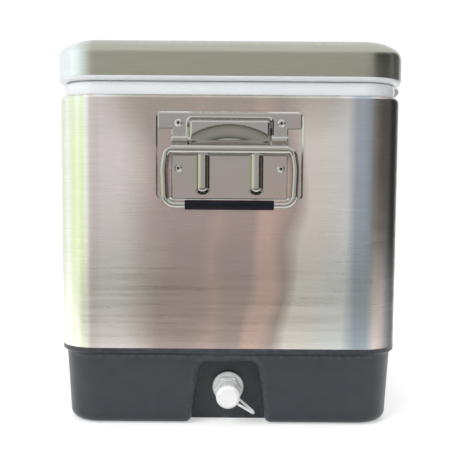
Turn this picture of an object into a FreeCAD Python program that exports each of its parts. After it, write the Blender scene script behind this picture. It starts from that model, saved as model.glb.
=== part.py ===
import FreeCAD, Part

import math
import os
import re

import Sketcher
from FreeCAD import Placement, Rotation, Vector

# Beer cooler with a cold plate inside and two taps on its far end.
# X runs across the cooler, -Y is the drain end, +Y is the tap end and Z is up.
# The origin is at the centre of the flat underside. All sizes are in millimetres.

SIZES = {
    # outer box
    "body_width": 406,
    "body_length": 640,
    "body_corner": 48,
    # moulded base
    "base_height": 93.5,
    "base_lip": 5.5,
    "base_step_height": 4,
    "base_step": 4.6,
    "base_draft": 3.2,
    "base_round": 12,
    "base_wall": 3.5,
    # drain recess in the base
    "recess_depth": 35,
    "recess_height": 75.5,
    "recess_top_width": 67,
    "recess_bottom_width": 90,
    "recess_corner": 11,
    "recess_rim": 8,
    # steel belt round the body
    "belt_height": 295.5,
    "belt_sheet": 0.8,
    "belt_roll": 5,
    "panel_width": 170,
    "panel_height": 101,
    "panel_centre": 318.5,
    "panel_corner": 6,
    "panel_depth": 2,
    # inner liner
    "collar_height": 15,
    "collar_skirt": 5,
    "collar_inset": 5,
    "collar_round": 2.5,
    "liner_wall": 2.5,
    "mouth_width": 316,
    "mouth_length": 544,
    "mouth_corner": 44,
    "liner_draft": 3,
    "floor_height": 36,
    "floor_round": 20,
    "sump_floor": 22,
    "sump_width": 48,
    "sump_seat": 251,
    "sump_end": 228,
    "foam_fit": 0.5,
    # lid
    "lid_gap": 0.3,
    "lid_overhang": 2,
    "lid_corner": 50,
    "lid_rim": 5,
    "lid_rim_inset": 0.4,
    "lid_rim_round": 4.6,
    "lid_height": 45.2,
    "lid_sheet": 0.8,
    "lid_round_reach": 35,
    "lid_round_drop": 20,
    "lid_round_tight": 13,
    "plug_width": 304,
    "plug_length": 532,
    "plug_corner": 38,
    "plug_depth": 12,
    "plug_round": 5,
    # rivets
    "rivet_head": 9,
    "rivet_dome": 1.7,
    "rivet_edge": 0.5,
    "rivet_eye": 3,
    "rivet_eye_depth": 1.1,
    "rivet_shank": 4.8,
    "rivet_hole": 4.9,
    "rivet_tail": 6.4,
    "rivet_tail_length": 4,
    "rivet_tail_room": 7.2,
    # handle plate
    "plate_sheet": 1.2,
    "plate_width": 134,
    "plate_bottom": 268,
    "plate_top": 368,
    "ear_width": 166,
    "ear_bottom": 349,
    "plate_corner": 3.5,
    "hood_width": 100,
    "hood_bottom": 332.1,
    "hood_top": 363.6,
    "hood_rise": 7,
    "hood_corner": 7,
    "hood_round": 3.2,
    "hood_foot": 2.4,
    "hood_wall": 1.6,
    "arch_radius": 51,
    "arch_top": 349,
    "arch_depth": 4,
    "side_bead": 4.5,
    "side_bead_height": 337.6,
    "rib_spacing": 62,
    "rib_width": 13.6,
    "rib_bottom": 276,
    "rib_top": 327,
    "rib_rise": 6,
    "rib_round": 5.8,
    "plate_rivet_spacing": 118.6,
    "plate_rivet_high": 356,
    "plate_rivet_low": 304.1,
    # swinging handle
    "pivot_height": 325.6,
    "pivot_out": 5.8,
    "wire_diameter": 8,
    "wire_play": 0.4,
    "bail_stub_end": 38,
    "bail_top_half": 72.6,
    "bail_bulge_half": 76,
    "bail_bulge_height": 304,
    "bail_bottom_half": 74.2,
    "bail_bar_height": 262,
    "bail_top_bend": 8,
    "bail_bulge_bend": 60,
    "bail_bottom_bend": 12,
    "grip_diameter": 11,
    "grip_length": 102.4,
    "grip_fit": 0.05,
    # drain
    "drain_height": 39.8,
    "drain_tilt": 4,
    "drain_seat_gap": 1.8,
    "drain_bore": 17,
    "drain_thread": 24,
    "drain_hole": 24.6,
    "drain_tail": 48,
    "drain_flange": 38,
    "drain_flange_thickness": 3,
    "drain_hex": 28,
    "drain_hex_length": 8,
    "drain_shoulder": 29,
    "drain_shoulder_length": 3,
    "spigot_diameter": 20.96,
    "spigot_end": 36,
    "drain_washer": 34,
    "drain_nut": 32,
    "drain_nut_length": 8,
    "drain_seal_thickness": 2,
    "cap_diameter": 27,
    "cap_end": 42,
    "cap_rim_round": 2.6,
    "cap_thread_fit": 0.1,
    "cap_ribs": 26,
    "cap_rib_depth": 0.8,
    "cap_rib_width": 1.6,
    "cap_rib_end": 35,
    "cap_start": 17.6,
    "cap_groove": 24,
    "cap_seal_thickness": 2.9,
    "tether_start": 14.2,
    "tether_end": 17.2,
    "tether_ring": 28,
    "tether_ring_start": 35.9,
    "tether_ring_end": 38.5,
    "tether_fit": 0.15,
    "tether_strand": 3,
    "tether_reach": 38,
    "tether_turn": 37,
    "tether_bend": 2.4,
    # cold plate
    "chill_width": 254,
    "chill_length": 370,
    "chill_thickness": 32,
    "chill_corner": 12,
    "chill_round": 4,
    "chill_foot": 6,
    "chill_foot_diameter": 24,
    "chill_foot_inset": 30,
    "chill_centre": -40,
    "groove_width": 7,
    "groove_depth": 3,
    "groove_pitch": 30,
    "groove_margin": 16,
    "groove_count": 12,
    "chill_outlet_half": 35,
    "chill_inlet_half": 95,
    # flare fittings and cooling lines
    "flare_diameter": 11.1,
    "flare_length": 12,
    "fitting_hex": 15,
    "fitting_length": 8,
    "flare_nut_hex": 17,
    "flare_nut_length": 18,
    "flare_nut_grip": 9,
    "flare_fit": 0.05,
    "line_diameter": 7.94,
    "line_wall": 1,
    "line_bend": 14,
    # beer inlets
    "inlet_half": 95,
    "inlet_height": 110,
    "inlet_hex": 22,
    "inlet_hex_length": 6,
    "inlet_thread": 14,
    "inlet_thread_end": 246.6,
    "inlet_flare_length": 10,
    "inlet_stub_length": 14,
    "inlet_hole": 14.4,
    "inlet_washer": 24,
    "inlet_washer_thickness": 1.5,
    "inlet_nut_length": 6,
    "seal_thickness": 2,
    # tap shanks
    "tap_half": 55,
    "tap_height": 150,
    "shank_diameter": 22.2,
    "shank_bore": 8.4,
    "shank_hole": 22.8,
    "shank_thread_end": 240,
    "shank_front": 18.5,
    "shank_shoulder": 30,
    "shank_shoulder_length": 3,
    "shank_flange": 48,
    "shank_flange_thickness": 6,
    "shank_flange_dome": 3,
    "shank_washer": 32,
    "shank_nut": 32,
    "shank_nut_length": 8,
    "thread_fit": 0.06,
    "coupling_diameter": 38,
    "coupling_start": 9.5,
    "coupling_lip": 3,
    "coupling_round": 2,
    # faucet
    "faucet_gap": 0.1,
    "faucet_collar": 26,
    "faucet_collar_length": 6,
    "faucet_barrel": 22,
    "faucet_length": 50,
    "faucet_nose": 6,
    "chamber_bore": 18,
    "seat_place": 18,
    "passage_bore": 14,
    "guide_place": 34,
    "plunger_diameter": 9,
    "plunger_fit": 0.06,
    "lever_place": 27,
    "ball_height": 13,
    "ball_diameter": 12,
    "ball_play": 0.3,
    "ledge_drop": 3.4,
    "ledge_bore": 10,
    "ledge_flare": 3,
    "boss_diameter": 23,
    "boss_height": 16.4,
    "spout_top": 19,
    "spout_waist": 16,
    "spout_tip": 14,
    "spout_tip_length": 14,
    "spout_drop": 62,
    "spout_bore": 11,
    "bonnet_diameter": 28,
    "bonnet_skirt": 5,
    "bonnet_lip": 4,
    "bonnet_mouth": 15.2,
    "bonnet_bevel": 1.5,
    "lever_tip": 5.2,
    "lever_arm": 4.5,
    "lever_stem": 5,
    "lever_collar": 12,
    "lever_collar_height": 27,
    "lever_collar_length": 6,
    "lever_stud": 9.5,
    "lever_stud_length": 12,
    "slot_play": 0.5,
    "slot_flare": 1,
    "slot_lean": 32,
    "seat_washer": 16.6,
    "seat_washer_thickness": 3.2,
    "retainer_diameter": 10,
    "retainer_length": 3,
    "stud_diameter": 5,
    "knob_top": 100,
    "knob_gap": 0.3,
    "knob_foot": 19,
    "knob_neck": 15,
    "knob_neck_height": 48,
    "knob_head": 34,
    "knob_head_height": 90,
    "knob_round": 6,
    "knob_fit": 0.05,
    # lid hinges
    "hinge_out": 8,
    "hinge_height": 407,
    "hinge_spacing": 380,
    "hinge_length": 60,
    "hinge_leaf": 2,
    "hinge_knuckle": 10,
    "hinge_pin": 5,
    "hinge_pin_fit": 0.05,
    "hinge_knuckle_gap": 0.4,
    "hinge_leaf_bottom": 352,
    "hinge_leaf_top": 446,
    "hinge_neck": 10,
    "hinge_rivet_spacing": 36,
    "hinge_rivet_low": 366,
    "hinge_rivet_high": 430,
    # hasp latch
    "latch_out": 6.5,
    "latch_pivot_height": 378,
    "latch_plate": 2,
    "latch_plate_half": 22,
    "latch_plate_bottom": 342,
    "latch_plate_top": 384,
    "latch_ear": 2.5,
    "latch_ear_half": 6,
    "hasp_width": 30,
    "hasp_side_play": 0.4,
    "hasp_sheet": 2,
    "hasp_length": 72,
    "hasp_curl": 8,
    "hasp_pin": 4,
    "hasp_slot_start": 40,
    "hasp_slot_end": 64,
    "hasp_slot_width": 8,
    "hasp_corner": 5,
    "latch_rivet_height": 352,
    "latch_rivet_spacing": 22,
    "keeper_bottom": 416,
    "keeper_top": 444,
    "keeper_half": 25,
    "keeper_rivet_spacing": 40,
    "staple_wire": 4,
    "staple_low": 421,
    "staple_high": 439,
    "staple_out": 12,
    "staple_bend": 4,
}

doc = FreeCAD.newDocument("beer_cooler")
sheet = doc.addObject("Spreadsheet::Sheet", "Sizes")
for row, (name, size) in enumerate(SIZES.items(), start=1):
    sheet.set("A%d" % row, name)
    sheet.set("B%d" % row, str(size))
    sheet.setAlias("B%d" % row, name)
doc.recompute()

UP = Vector(0, 0, 1)
ACROSS = Vector(1, 0, 0)


# How expressions, sketches and features are made


def bound(text):
    """The text of an expression, with each size name pointing at the sheet."""
    names = re.compile(r"[a-z][a-z_]*")
    return names.sub(lambda found: ("Sizes." if found.group() in SIZES else "") + found.group(), text)


def value(text):
    """What an expression comes to now."""
    result = sheet.evalExpression(bound(text))
    return float(getattr(result, "Value", result))


def body(name):
    owner = doc.addObject("PartDesign::Body", name)
    owner.Label = name
    return owner


def sketch(owner, name, role, offset="0"):
    """A sketch on one of the body's own origin planes, moved along the plane's normal."""
    plane = [feature for feature in owner.Origin.OriginFeatures if feature.Role == role][0]
    drawing = owner.newObject("Sketcher::SketchObject", name)
    drawing.AttachmentSupport = [(plane, "")]
    drawing.MapMode = "FlatFace"
    drawing.setExpression(".AttachmentOffset.Base.z", bound(offset))
    return drawing


def fix(drawing, kind, geometry, point, text):
    """A dimension on a sketch point, tied to an expression."""
    index = drawing.addConstraint(Sketcher.Constraint(kind, geometry, point, value(text)))
    drawing.setExpression("Constraints[%d]" % index, bound(text))


def fix_radius(drawing, geometry, text):
    index = drawing.addConstraint(Sketcher.Constraint("Radius", geometry, value(text)))
    drawing.setExpression("Constraints[%d]" % index, bound(text))


def rounded_rect(drawing, low_x, high_x, low_y, high_y, radius):
    """A rectangle with four tangent corner arcs."""
    first = len(drawing.Geometry)
    r = value(radius)
    left, right = value(low_x), value(high_x)
    bottom, top = value(low_y), value(high_y)
    centres = [(right - r, bottom + r), (right - r, top - r), (left + r, top - r), (left + r, bottom + r)]
    arcs = []
    for quarter, (x, y) in enumerate(centres, start=-1):
        start = quarter * math.pi / 2
        arcs.append(Part.ArcOfCircle(Part.Circle(Vector(x, y, 0), UP, r), start, start + math.pi / 2))
    lines = [Part.LineSegment(arcs[k].EndPoint, arcs[(k + 1) % 4].StartPoint) for k in range(4)]
    drawing.addGeometry(arcs + lines, False)
    for k in range(4):
        drawing.addConstraint(Sketcher.Constraint("Tangent", first + k, 2, first + 4 + k, 1))
        drawing.addConstraint(Sketcher.Constraint("Tangent", first + 4 + k, 2, first + (k + 1) % 4, 1))
        drawing.addConstraint(Sketcher.Constraint("Horizontal" if k % 2 else "Vertical", first + 4 + k))
    for k in range(3):
        drawing.addConstraint(Sketcher.Constraint("Equal", first + k, first + k + 1))
    fix_radius(drawing, first, radius)
    fix(drawing, "DistanceX", first + 4, 1, high_x)
    fix(drawing, "DistanceY", first + 5, 1, high_y)
    fix(drawing, "DistanceX", first + 6, 1, low_x)
    fix(drawing, "DistanceY", first + 7, 1, low_y)


def centred_rect(drawing, half_x, half_y, radius):
    rounded_rect(drawing, "-(%s)" % half_x, half_x, "-(%s)" % half_y, half_y, radius)


def outline(drawing, points):
    """A closed outline. A point is (x, y), or (x, y, centre x, centre y, turn) where an arc leads to it."""
    first = len(drawing.Geometry)
    places = [Vector(value(p[0]), value(p[1]), 0) for p in points]
    count = len(points)
    pieces = []
    for k, point in enumerate(points):
        start, end = places[k - 1], places[k]
        if len(point) == 2:
            pieces.append(Part.LineSegment(start, end))
            continue
        centre = Vector(value(point[2]), value(point[3]), 0)
        turn = point[4]
        a = math.atan2(start.y - centre.y, start.x - centre.x)
        b = math.atan2(end.y - centre.y, end.x - centre.x)
        low, high = (a, b) if turn > 0 else (b, a)
        while high <= low:
            high += 2 * math.pi
        circle = Part.Circle(centre, UP, (start - centre).Length)
        pieces.append(Part.ArcOfCircle(circle, low, high))
    drawing.addGeometry(pieces, False)
    starts = [2 if len(p) == 5 and p[4] < 0 else 1 for p in points]
    for k in range(count):
        following = (k + 1) % count
        joint = Sketcher.Constraint("Coincident", first + k, 3 - starts[k], first + following, starts[following])
        drawing.addConstraint(joint)
    for k, point in enumerate(points):
        fix(drawing, "DistanceX", first + k, 3 - starts[k], point[0])
        fix(drawing, "DistanceY", first + k, 3 - starts[k], point[1])
        if len(point) == 5:
            chord = places[k] - places[k - 1]
            kind, text = ("DistanceY", point[3]) if abs(chord.x) > abs(chord.y) else ("DistanceX", point[2])
            fix(drawing, kind, first + k, 3, text)


def circles(drawing, centres, diameter):
    for x, y in centres:
        index = len(drawing.Geometry)
        drawing.addGeometry(Part.Circle(Vector(value(x), value(y), 0), UP, value(diameter) / 2), False)
        fix_radius(drawing, index, "(%s) / 2" % diameter)
        fix(drawing, "DistanceX", index, 3, x)
        fix(drawing, "DistanceY", index, 3, y)


def hexagon(drawing, across_flats):
    """A hexagon about the sketch origin, with two flats level."""
    radius = "(%s) / sqrt(3)" % across_flats
    corners = []
    for k in range(6):
        corners.append(("%s * cos(%d)" % (radius, 60 * k), "%s * sin(%d)" % (radius, 60 * k)))
    outline(drawing, corners)


def pad(owner, name, drawing, length, reverse=False, taper=None, midplane=False):
    feature = owner.newObject("PartDesign::Pad", name)
    feature.Profile = drawing
    feature.setExpression("Length", bound(length))
    feature.Reversed = reverse
    feature.Midplane = midplane
    if taper:
        feature.setExpression("TaperAngle", bound(taper))
    doc.recompute()
    return feature


def pocket(owner, name, drawing, length, reverse=False, taper=None, midplane=False):
    feature = owner.newObject("PartDesign::Pocket", name)
    feature.Profile = drawing
    feature.setExpression("Length", bound(length))
    feature.Reversed = reverse
    feature.Midplane = midplane
    if taper:
        feature.setExpression("TaperAngle", bound(taper))
    doc.recompute()
    return feature


def turned(owner, name, drawing, cut=False):
    """A full turn of the sketch about its own upright axis."""
    feature = owner.newObject("PartDesign::Groove" if cut else "PartDesign::Revolution", name)
    feature.Profile = drawing
    feature.ReferenceAxis = (drawing, ["V_Axis"])
    feature.Angle = 360
    doc.recompute()
    return feature


def fillet(owner, name, chosen, radius):
    """Rounds the edges of the body's last feature for which chosen(edge) is true."""
    base = owner.Tip
    names = ["Edge%d" % k for k, edge in enumerate(base.Shape.Edges, start=1) if chosen(edge)]
    feature = owner.newObject("PartDesign::Fillet", name)
    feature.Base = (base, names)
    feature.setExpression("Radius", bound(radius))
    doc.recompute()
    return feature


def level_at(height):
    """Picks edges that lie level at a height."""
    z = value(height)
    return lambda edge: abs(edge.BoundBox.ZMin - z) < 0.01 and abs(edge.BoundBox.ZMax - z) < 0.01


def across_at(place):
    """Picks edges that lie in an upright plane across the cooler."""
    y = value(place)
    return lambda edge: abs(edge.BoundBox.YMin - y) < 0.01 and abs(edge.BoundBox.YMax - y) < 0.01


def place(thing, x, y, z, axis=UP, angle="0"):
    thing.Placement = Placement(Vector(0, 0, 0), Rotation(axis, value(angle)))
    thing.setExpression(".Placement.Base.x", bound(x))
    thing.setExpression(".Placement.Base.y", bound(y))
    thing.setExpression(".Placement.Base.z", bound(z))
    doc.recompute()
    return thing


def copied(source, x, y, z, axis=UP, angle="0"):
    """Another piece of the same shape at its own place."""
    link = doc.addObject("App::Link", source.Name + "_copy")
    link.LinkedObject = source
    link.LinkTransform = False
    return place(link, x, y, z, axis, angle)


def group(name, pieces):
    whole = doc.addObject("Part::Compound", name)
    whole.Label = name
    whole.Links = pieces
    doc.recompute()
    return whole


def cut(name, base, tool):
    result = doc.addObject("Part::Cut", name)
    result.Base = base
    result.Tool = tool
    result.Label = name
    doc.recompute()
    return result


def drill(name, diameter, length, x, y, z, axis=ACROSS, angle="90"):
    """A cylinder that starts at a point and runs the way that the turn gives its own upright axis."""
    tool = doc.addObject("Part::Cylinder", name)
    tool.setExpression("Radius", bound("(%s) / 2" % diameter))
    tool.setExpression("Height", bound(length))
    return place(tool, x, y, z, axis, angle)


def bent_rod(name, route, bends, outer, inner=None):
    """A rod or tube along straight runs joined by tangent arcs."""
    points = [Vector(*point) for point in route]
    edges = []
    last = points[0]
    for k in range(1, len(points) - 1):
        arriving = (points[k] - points[k - 1]).normalize()
        leaving = (points[k + 1] - points[k]).normalize()
        turn = arriving.getAngle(leaving)
        reach = bends[k - 1] * math.tan(turn / 2)
        start = points[k] - arriving * reach
        end = points[k] + leaving * reach
        inward = (leaving - arriving).normalize()
        middle = points[k] + inward * (bends[k - 1] / math.cos(turn / 2) - bends[k - 1])
        if (start - last).Length > 1e-6:
            edges.append(Part.LineSegment(last, start).toShape())
        edges.append(Part.Arc(start, middle, end).toShape())
        last = end
    edges.append(Part.LineSegment(last, points[-1]).toShape())
    path = Part.Wire(edges)
    ends = (points[1] - points[0]).normalize()
    ring = Part.Wire(Part.makeCircle(outer / 2, points[0], ends))
    rod = path.makePipeShell([ring], True, False)
    if inner:
        hole = Part.Wire(Part.makeCircle(inner / 2, points[0], ends))
        rod = rod.cut(path.makePipeShell([hole], True, False))
    feature = doc.addObject("Part::Feature", name)
    feature.Label = name
    feature.Shape = rod
    return feature


pieces = {}


def keep(thing):
    """Notes a finished piece under its own name."""
    pieces[thing.Label] = thing
    return thing


HALF_WIDTH = "body_width / 2"
HALF_LENGTH = "body_length / 2"
BELT_TOP = "(base_height + belt_height)"
COLLAR_TOP = "(base_height + belt_height + collar_height)"
LID_BOTTOM = "(base_height + belt_height + collar_height + lid_gap)"
SKIN_BOTTOM = "(base_height + belt_height + collar_height + lid_gap + lid_rim)"
LID_TOP = "(base_height + belt_height + collar_height + lid_gap + lid_rim + lid_height)"


# Base: a moulded tub with a stepped lip and an open recess round the drain


def base_room(name, gap):
    """The room inside the base, smaller by a gap on every side, with the drain recess standing in it."""
    owner = body(name)
    step = "(base_height - base_lip - base_step_height)"
    inset = "(base_step + base_wall + %s)" % gap
    corner = "body_corner - %s" % inset
    upper = sketch(owner, name + "_upper", "XY_Plane", "base_height")
    centred_rect(upper, "%s - %s" % (HALF_WIDTH, inset), "%s - %s" % (HALF_LENGTH, inset), corner)
    pad(owner, name + "_upper_pad", upper, "base_height - %s" % step, reverse=True)
    lower = sketch(owner, name + "_lower", "XY_Plane", step)
    centred_rect(lower, "%s - %s" % (HALF_WIDTH, inset), "%s - %s" % (HALF_LENGTH, inset), corner)
    depth = "%s - base_wall - %s" % (step, gap)
    pad(owner, name + "_lower_pad", lower, depth, reverse=True, taper="-base_draft")
    fillet(owner, name + "_round", level_at("base_wall + %s" % gap), "base_round - base_wall - %s" % gap)
    mould = sketch(owner, name + "_recess", "XZ_Plane", HALF_LENGTH)
    wall = "(base_wall + %s)" % gap
    outline(mould, [
        ("-recess_bottom_width / 2 - %s" % wall, "0"),
        ("recess_bottom_width / 2 + %s" % wall, "0"),
        ("recess_top_width / 2 + %s" % wall, "recess_height + %s" % wall),
        ("-recess_top_width / 2 - %s" % wall, "recess_height + %s" % wall),
    ])
    pocket(owner, name + "_recess_cut", mould, "recess_depth + %s" % wall)
    return owner


def base_tub():
    owner = body("base_shape")
    step = "(base_height - base_lip - base_step_height)"
    inset = "base_step"
    side = sketch(owner, "base_side", "XY_Plane", step)
    centred_rect(side, HALF_WIDTH + " - base_step", HALF_LENGTH + " - base_step", "body_corner - " + inset)
    pad(owner, "base_side_pad", side, step, reverse=True, taper="-base_draft")
    fillet(owner, "base_bottom_round", level_at("0"), "base_round")
    flare = sketch(owner, "base_flare", "XY_Plane", step)
    centred_rect(flare, HALF_WIDTH + " - base_step", HALF_LENGTH + " - base_step", "body_corner - " + inset)
    pad(owner, "base_flare_pad", flare, "base_step_height", taper="atan(base_step / base_step_height)")
    lip = sketch(owner, "base_lip_outline", "XY_Plane", "base_height")
    centred_rect(lip, HALF_WIDTH, HALF_LENGTH, "body_corner")
    pad(owner, "base_lip_pad", lip, "base_lip", reverse=True)
    mouth = sketch(owner, "recess_mouth", "XZ_Plane", HALF_LENGTH)
    outline(mouth, [
        ("-recess_bottom_width / 2", "0"),
        ("recess_bottom_width / 2", "0"),
        ("recess_top_width / 2", "recess_height"),
        ("-recess_top_width / 2", "recess_height"),
    ])
    pocket(owner, "recess_pocket", mouth, "recess_depth")
    high, wide = value("recess_height"), value("recess_top_width / 2")
    back = value("-(body_length / 2 - recess_depth)")

    def runs_in(edge):
        box = edge.BoundBox
        return abs(box.ZMin - high) < 0.01 and box.YLength > 20 and abs(abs(box.XMax) - wide) < 0.01

    fillet(owner, "recess_corners", runs_in, "recess_corner")

    def rim(edge):
        box = edge.BoundBox
        inside = abs(box.Center.x) < value("recess_bottom_width / 2 + 1") and box.ZMax < high + 0.01
        return inside and box.YMax < back - 5 and box.XLength < value("body_width / 2") and box.ZMin < high + 1 \
            and box.YMin < value("-(body_length / 2 - base_step - 14)") - 0.01 and box.ZMax > value("base_round")

    fillet(owner, "recess_rim_round", rim, "recess_rim")
    hollow = cut("base_hollow", owner, base_room("base_inside", "0"))
    return hollow


def drain_point(along):
    """Expressions for a point on the drain's axis, this far out from its flange seat."""
    out = "(body_length / 2 - recess_depth + drain_seat_gap * cos(drain_tilt) + (%s) * cos(drain_tilt))" % along
    return "0", "-" + out, "drain_height - (drain_seat_gap + %s) * sin(drain_tilt)" % along


def on_drain(thing):
    x, y, z = drain_point("0")
    return place(thing, x, y, z, ACROSS, "90 + drain_tilt")


def drain_drill(name, diameter):
    x, y, z = drain_point("-drain_tail - 4")
    return drill(name, diameter, "drain_tail + 20", x, y, z, ACROSS, "90 + drain_tilt")


# Places of the rivets, as (x, y, z, axis, angle) of a rivet whose own +Z points out of the wall

HANDLE_FACE = "(body_length / 2 - panel_depth + plate_sheet)"
HANDLE_RIVETS = []
for height in ("plate_rivet_high", "plate_rivet_low"):
    for side in ("-", ""):
        HANDLE_RIVETS.append((side + "plate_rivet_spacing / 2", "-" + HANDLE_FACE, height, ACROSS, "90"))
        HANDLE_RIVETS.append((side + "plate_rivet_spacing / 2", HANDLE_FACE, height, ACROSS, "-90"))

BODY_RIVETS = []
LID_RIVETS = []
ALONG = Vector(0, 1, 0)
for end in ("-", ""):
    for shift in ("-", "+"):
        spot = "%shinge_spacing / 2 %s hinge_rivet_spacing / 2" % (end, shift)
        BODY_RIVETS.append(("body_width / 2 + hinge_leaf", spot, "hinge_rivet_low", ALONG, "90"))
        LID_RIVETS.append(("body_width / 2 + lid_overhang + hinge_leaf", spot, "hinge_rivet_high", ALONG, "90"))
    BODY_RIVETS.append(("-(body_width / 2 + latch_plate)", end + "latch_rivet_spacing / 2", "latch_rivet_height",
                        ALONG, "-90"))
    LID_RIVETS.append(("-(body_width / 2 + lid_overhang + latch_plate)", end + "keeper_rivet_spacing / 2",
                       "(keeper_bottom + keeper_top) / 2", ALONG, "-90"))


def rivet_drills(name, places, diameter, depth):
    """Cylinders that run into the wall from each rivet's seat."""
    tools = []
    for x, y, z, axis, angle in places:
        tool = drill(name, diameter, depth, x, y, z, axis, "%s + 180" % angle)
        tools.append(tool)
    return tools


def wall_drills(name, clearance="0"):
    """Cylinders through the tap end's wall, for both shanks and both inlets."""
    tools = []
    for side in ("-", ""):
        start = "body_length / 2 + 5"
        tools.append(drill(name + "_shank", "shank_hole", "mouth_length / 2", side + "tap_half", start, "tap_height"))
        tools.append(drill(name + "_inlet", "inlet_hole", "mouth_length / 2", side + "inlet_half", start,
                           "inlet_height"))
    return tools


# Steel belt: one sheet wrapped round the body, rolled in at the top, with a sunk panel at each end


def steel_belt():
    owner = body("belt_wrap")
    wall = sketch(owner, "belt_outline", "XY_Plane", "base_height")
    centred_rect(wall, HALF_WIDTH, HALF_LENGTH, "body_corner")
    pad(owner, "belt_pad", wall, "belt_height")
    room = sketch(owner, "belt_inside", "XY_Plane", "base_height")
    centred_rect(room, HALF_WIDTH + " - belt_sheet", HALF_LENGTH + " - belt_sheet", "body_corner - belt_sheet")
    pocket(owner, "belt_room", room, "belt_height - belt_sheet", reverse=True)
    fillet(owner, "belt_roll_inner", level_at(BELT_TOP + " - belt_sheet"), "belt_roll - belt_sheet")
    fillet(owner, "belt_roll_outer", level_at(BELT_TOP), "belt_roll")
    mouth = sketch(owner, "belt_mouth", "XY_Plane", BELT_TOP)
    inset = "(collar_inset - foam_fit)"
    centred_rect(mouth, "%s - %s" % (HALF_WIDTH, inset), "%s - %s" % (HALF_LENGTH, inset), "body_corner - " + inset)
    pocket(owner, "belt_mouth_cut", mouth, "belt_roll")
    for end, sign, reverse in (("drain", "", False), ("tap", "-", True)):
        back = sketch(owner, end + "_panel_back", "XZ_Plane", "%s(body_length / 2 - belt_sheet)" % sign)
        panel_outline(back, "belt_sheet")
        pad(owner, end + "_panel_swell", back, "panel_depth", reverse=not reverse)
        face = sketch(owner, end + "_panel_face", "XZ_Plane", "%sbody_length / 2" % sign)
        panel_outline(face, "0")
        pocket(owner, end + "_panel_sink", face, "panel_depth", reverse=reverse)
    return owner


def panel_outline(drawing, margin):
    rounded_rect(
        drawing,
        "-panel_width / 2 - %s" % margin,
        "panel_width / 2 + %s" % margin,
        "panel_centre - panel_height / 2 - %s" % margin,
        "panel_centre + panel_height / 2 + %s" % margin,
        "panel_corner + %s" % margin,
    )


# Liner: collar, drafted tub and drain sump in one moulding


def tub_outside(owner, gap):
    """The outside of the liner's tub and sump, larger by a gap, below the collar's top plate."""
    top = COLLAR_TOP + " - liner_wall"
    shrink = "liner_wall * tan(liner_draft)"
    wall = "(liner_wall + %s - %s)" % (gap, shrink)
    outside = sketch(owner, "tub_outline", "XY_Plane", top)
    centred_rect(outside, "mouth_width / 2 + " + wall, "mouth_length / 2 + " + wall, "mouth_corner + " + wall)
    bottom = "floor_height - liner_wall - %s" % gap
    pad(owner, "tub_pad", outside, "%s - (%s)" % (top, bottom), reverse=True, taper="-liner_draft")
    fillet(owner, "tub_round", level_at(bottom), "floor_round + liner_wall + %s" % gap)
    sump = sketch(owner, "sump_outline", "XY_Plane", "sump_floor - liner_wall - %s" % gap)
    side = "(sump_width / 2 + liner_wall + %s)" % gap
    outline(sump, [
        ("-" + side, "-sump_seat - liner_wall - %s" % gap),
        (side, "-sump_seat - liner_wall - %s" % gap),
        (side, "-sump_end + liner_wall + %s" % gap),
        ("-" + side, "-sump_end + liner_wall + %s" % gap),
    ])
    pad(owner, "sump_block", sump, "floor_height + floor_round - sump_floor")


def inner_liner():
    owner = body("liner_moulding")
    skirt_bottom = BELT_TOP + " - collar_skirt"
    collar = sketch(owner, "collar_outline", "XY_Plane", COLLAR_TOP)
    corner = "body_corner - collar_inset"
    centred_rect(collar, HALF_WIDTH + " - collar_inset", HALF_LENGTH + " - collar_inset", corner)
    pad(owner, "collar_pad", collar, "collar_height + collar_skirt", reverse=True)
    fillet(owner, "collar_round_edge", level_at(COLLAR_TOP), "collar_round")
    under = sketch(owner, "collar_underside", "XY_Plane", skirt_bottom)
    inset = "(collar_inset + liner_wall)"
    centred_rect(under, "%s - %s" % (HALF_WIDTH, inset), "%s - %s" % (HALF_LENGTH, inset), "body_corner - " + inset)
    pocket(owner, "collar_hollow", under, "collar_height + collar_skirt - liner_wall", reverse=True)
    tub_outside(owner, "0")
    inside = body("ice_room")
    room = sketch(inside, "ice_room_outline", "XY_Plane", COLLAR_TOP)
    centred_rect(room, "mouth_width / 2", "mouth_length / 2", "mouth_corner")
    pad(inside, "ice_room_pad", room, COLLAR_TOP + " - floor_height", reverse=True, taper="-liner_draft")
    fillet(inside, "ice_room_round", level_at("floor_height"), "floor_round")
    sump = sketch(inside, "sump_room_outline", "XY_Plane", "sump_floor")
    outline(sump, [
        ("-sump_width / 2", "-sump_seat"),
        ("sump_width / 2", "-sump_seat"),
        ("sump_width / 2", "-sump_end"),
        ("-sump_width / 2", "-sump_end"),
    ])
    pad(inside, "sump_room", sump, "floor_height + floor_round + 6 - sump_floor")
    return cut("liner_shell", owner, inside)


# Foam: fills the space between the liner, the belt and the base


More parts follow.
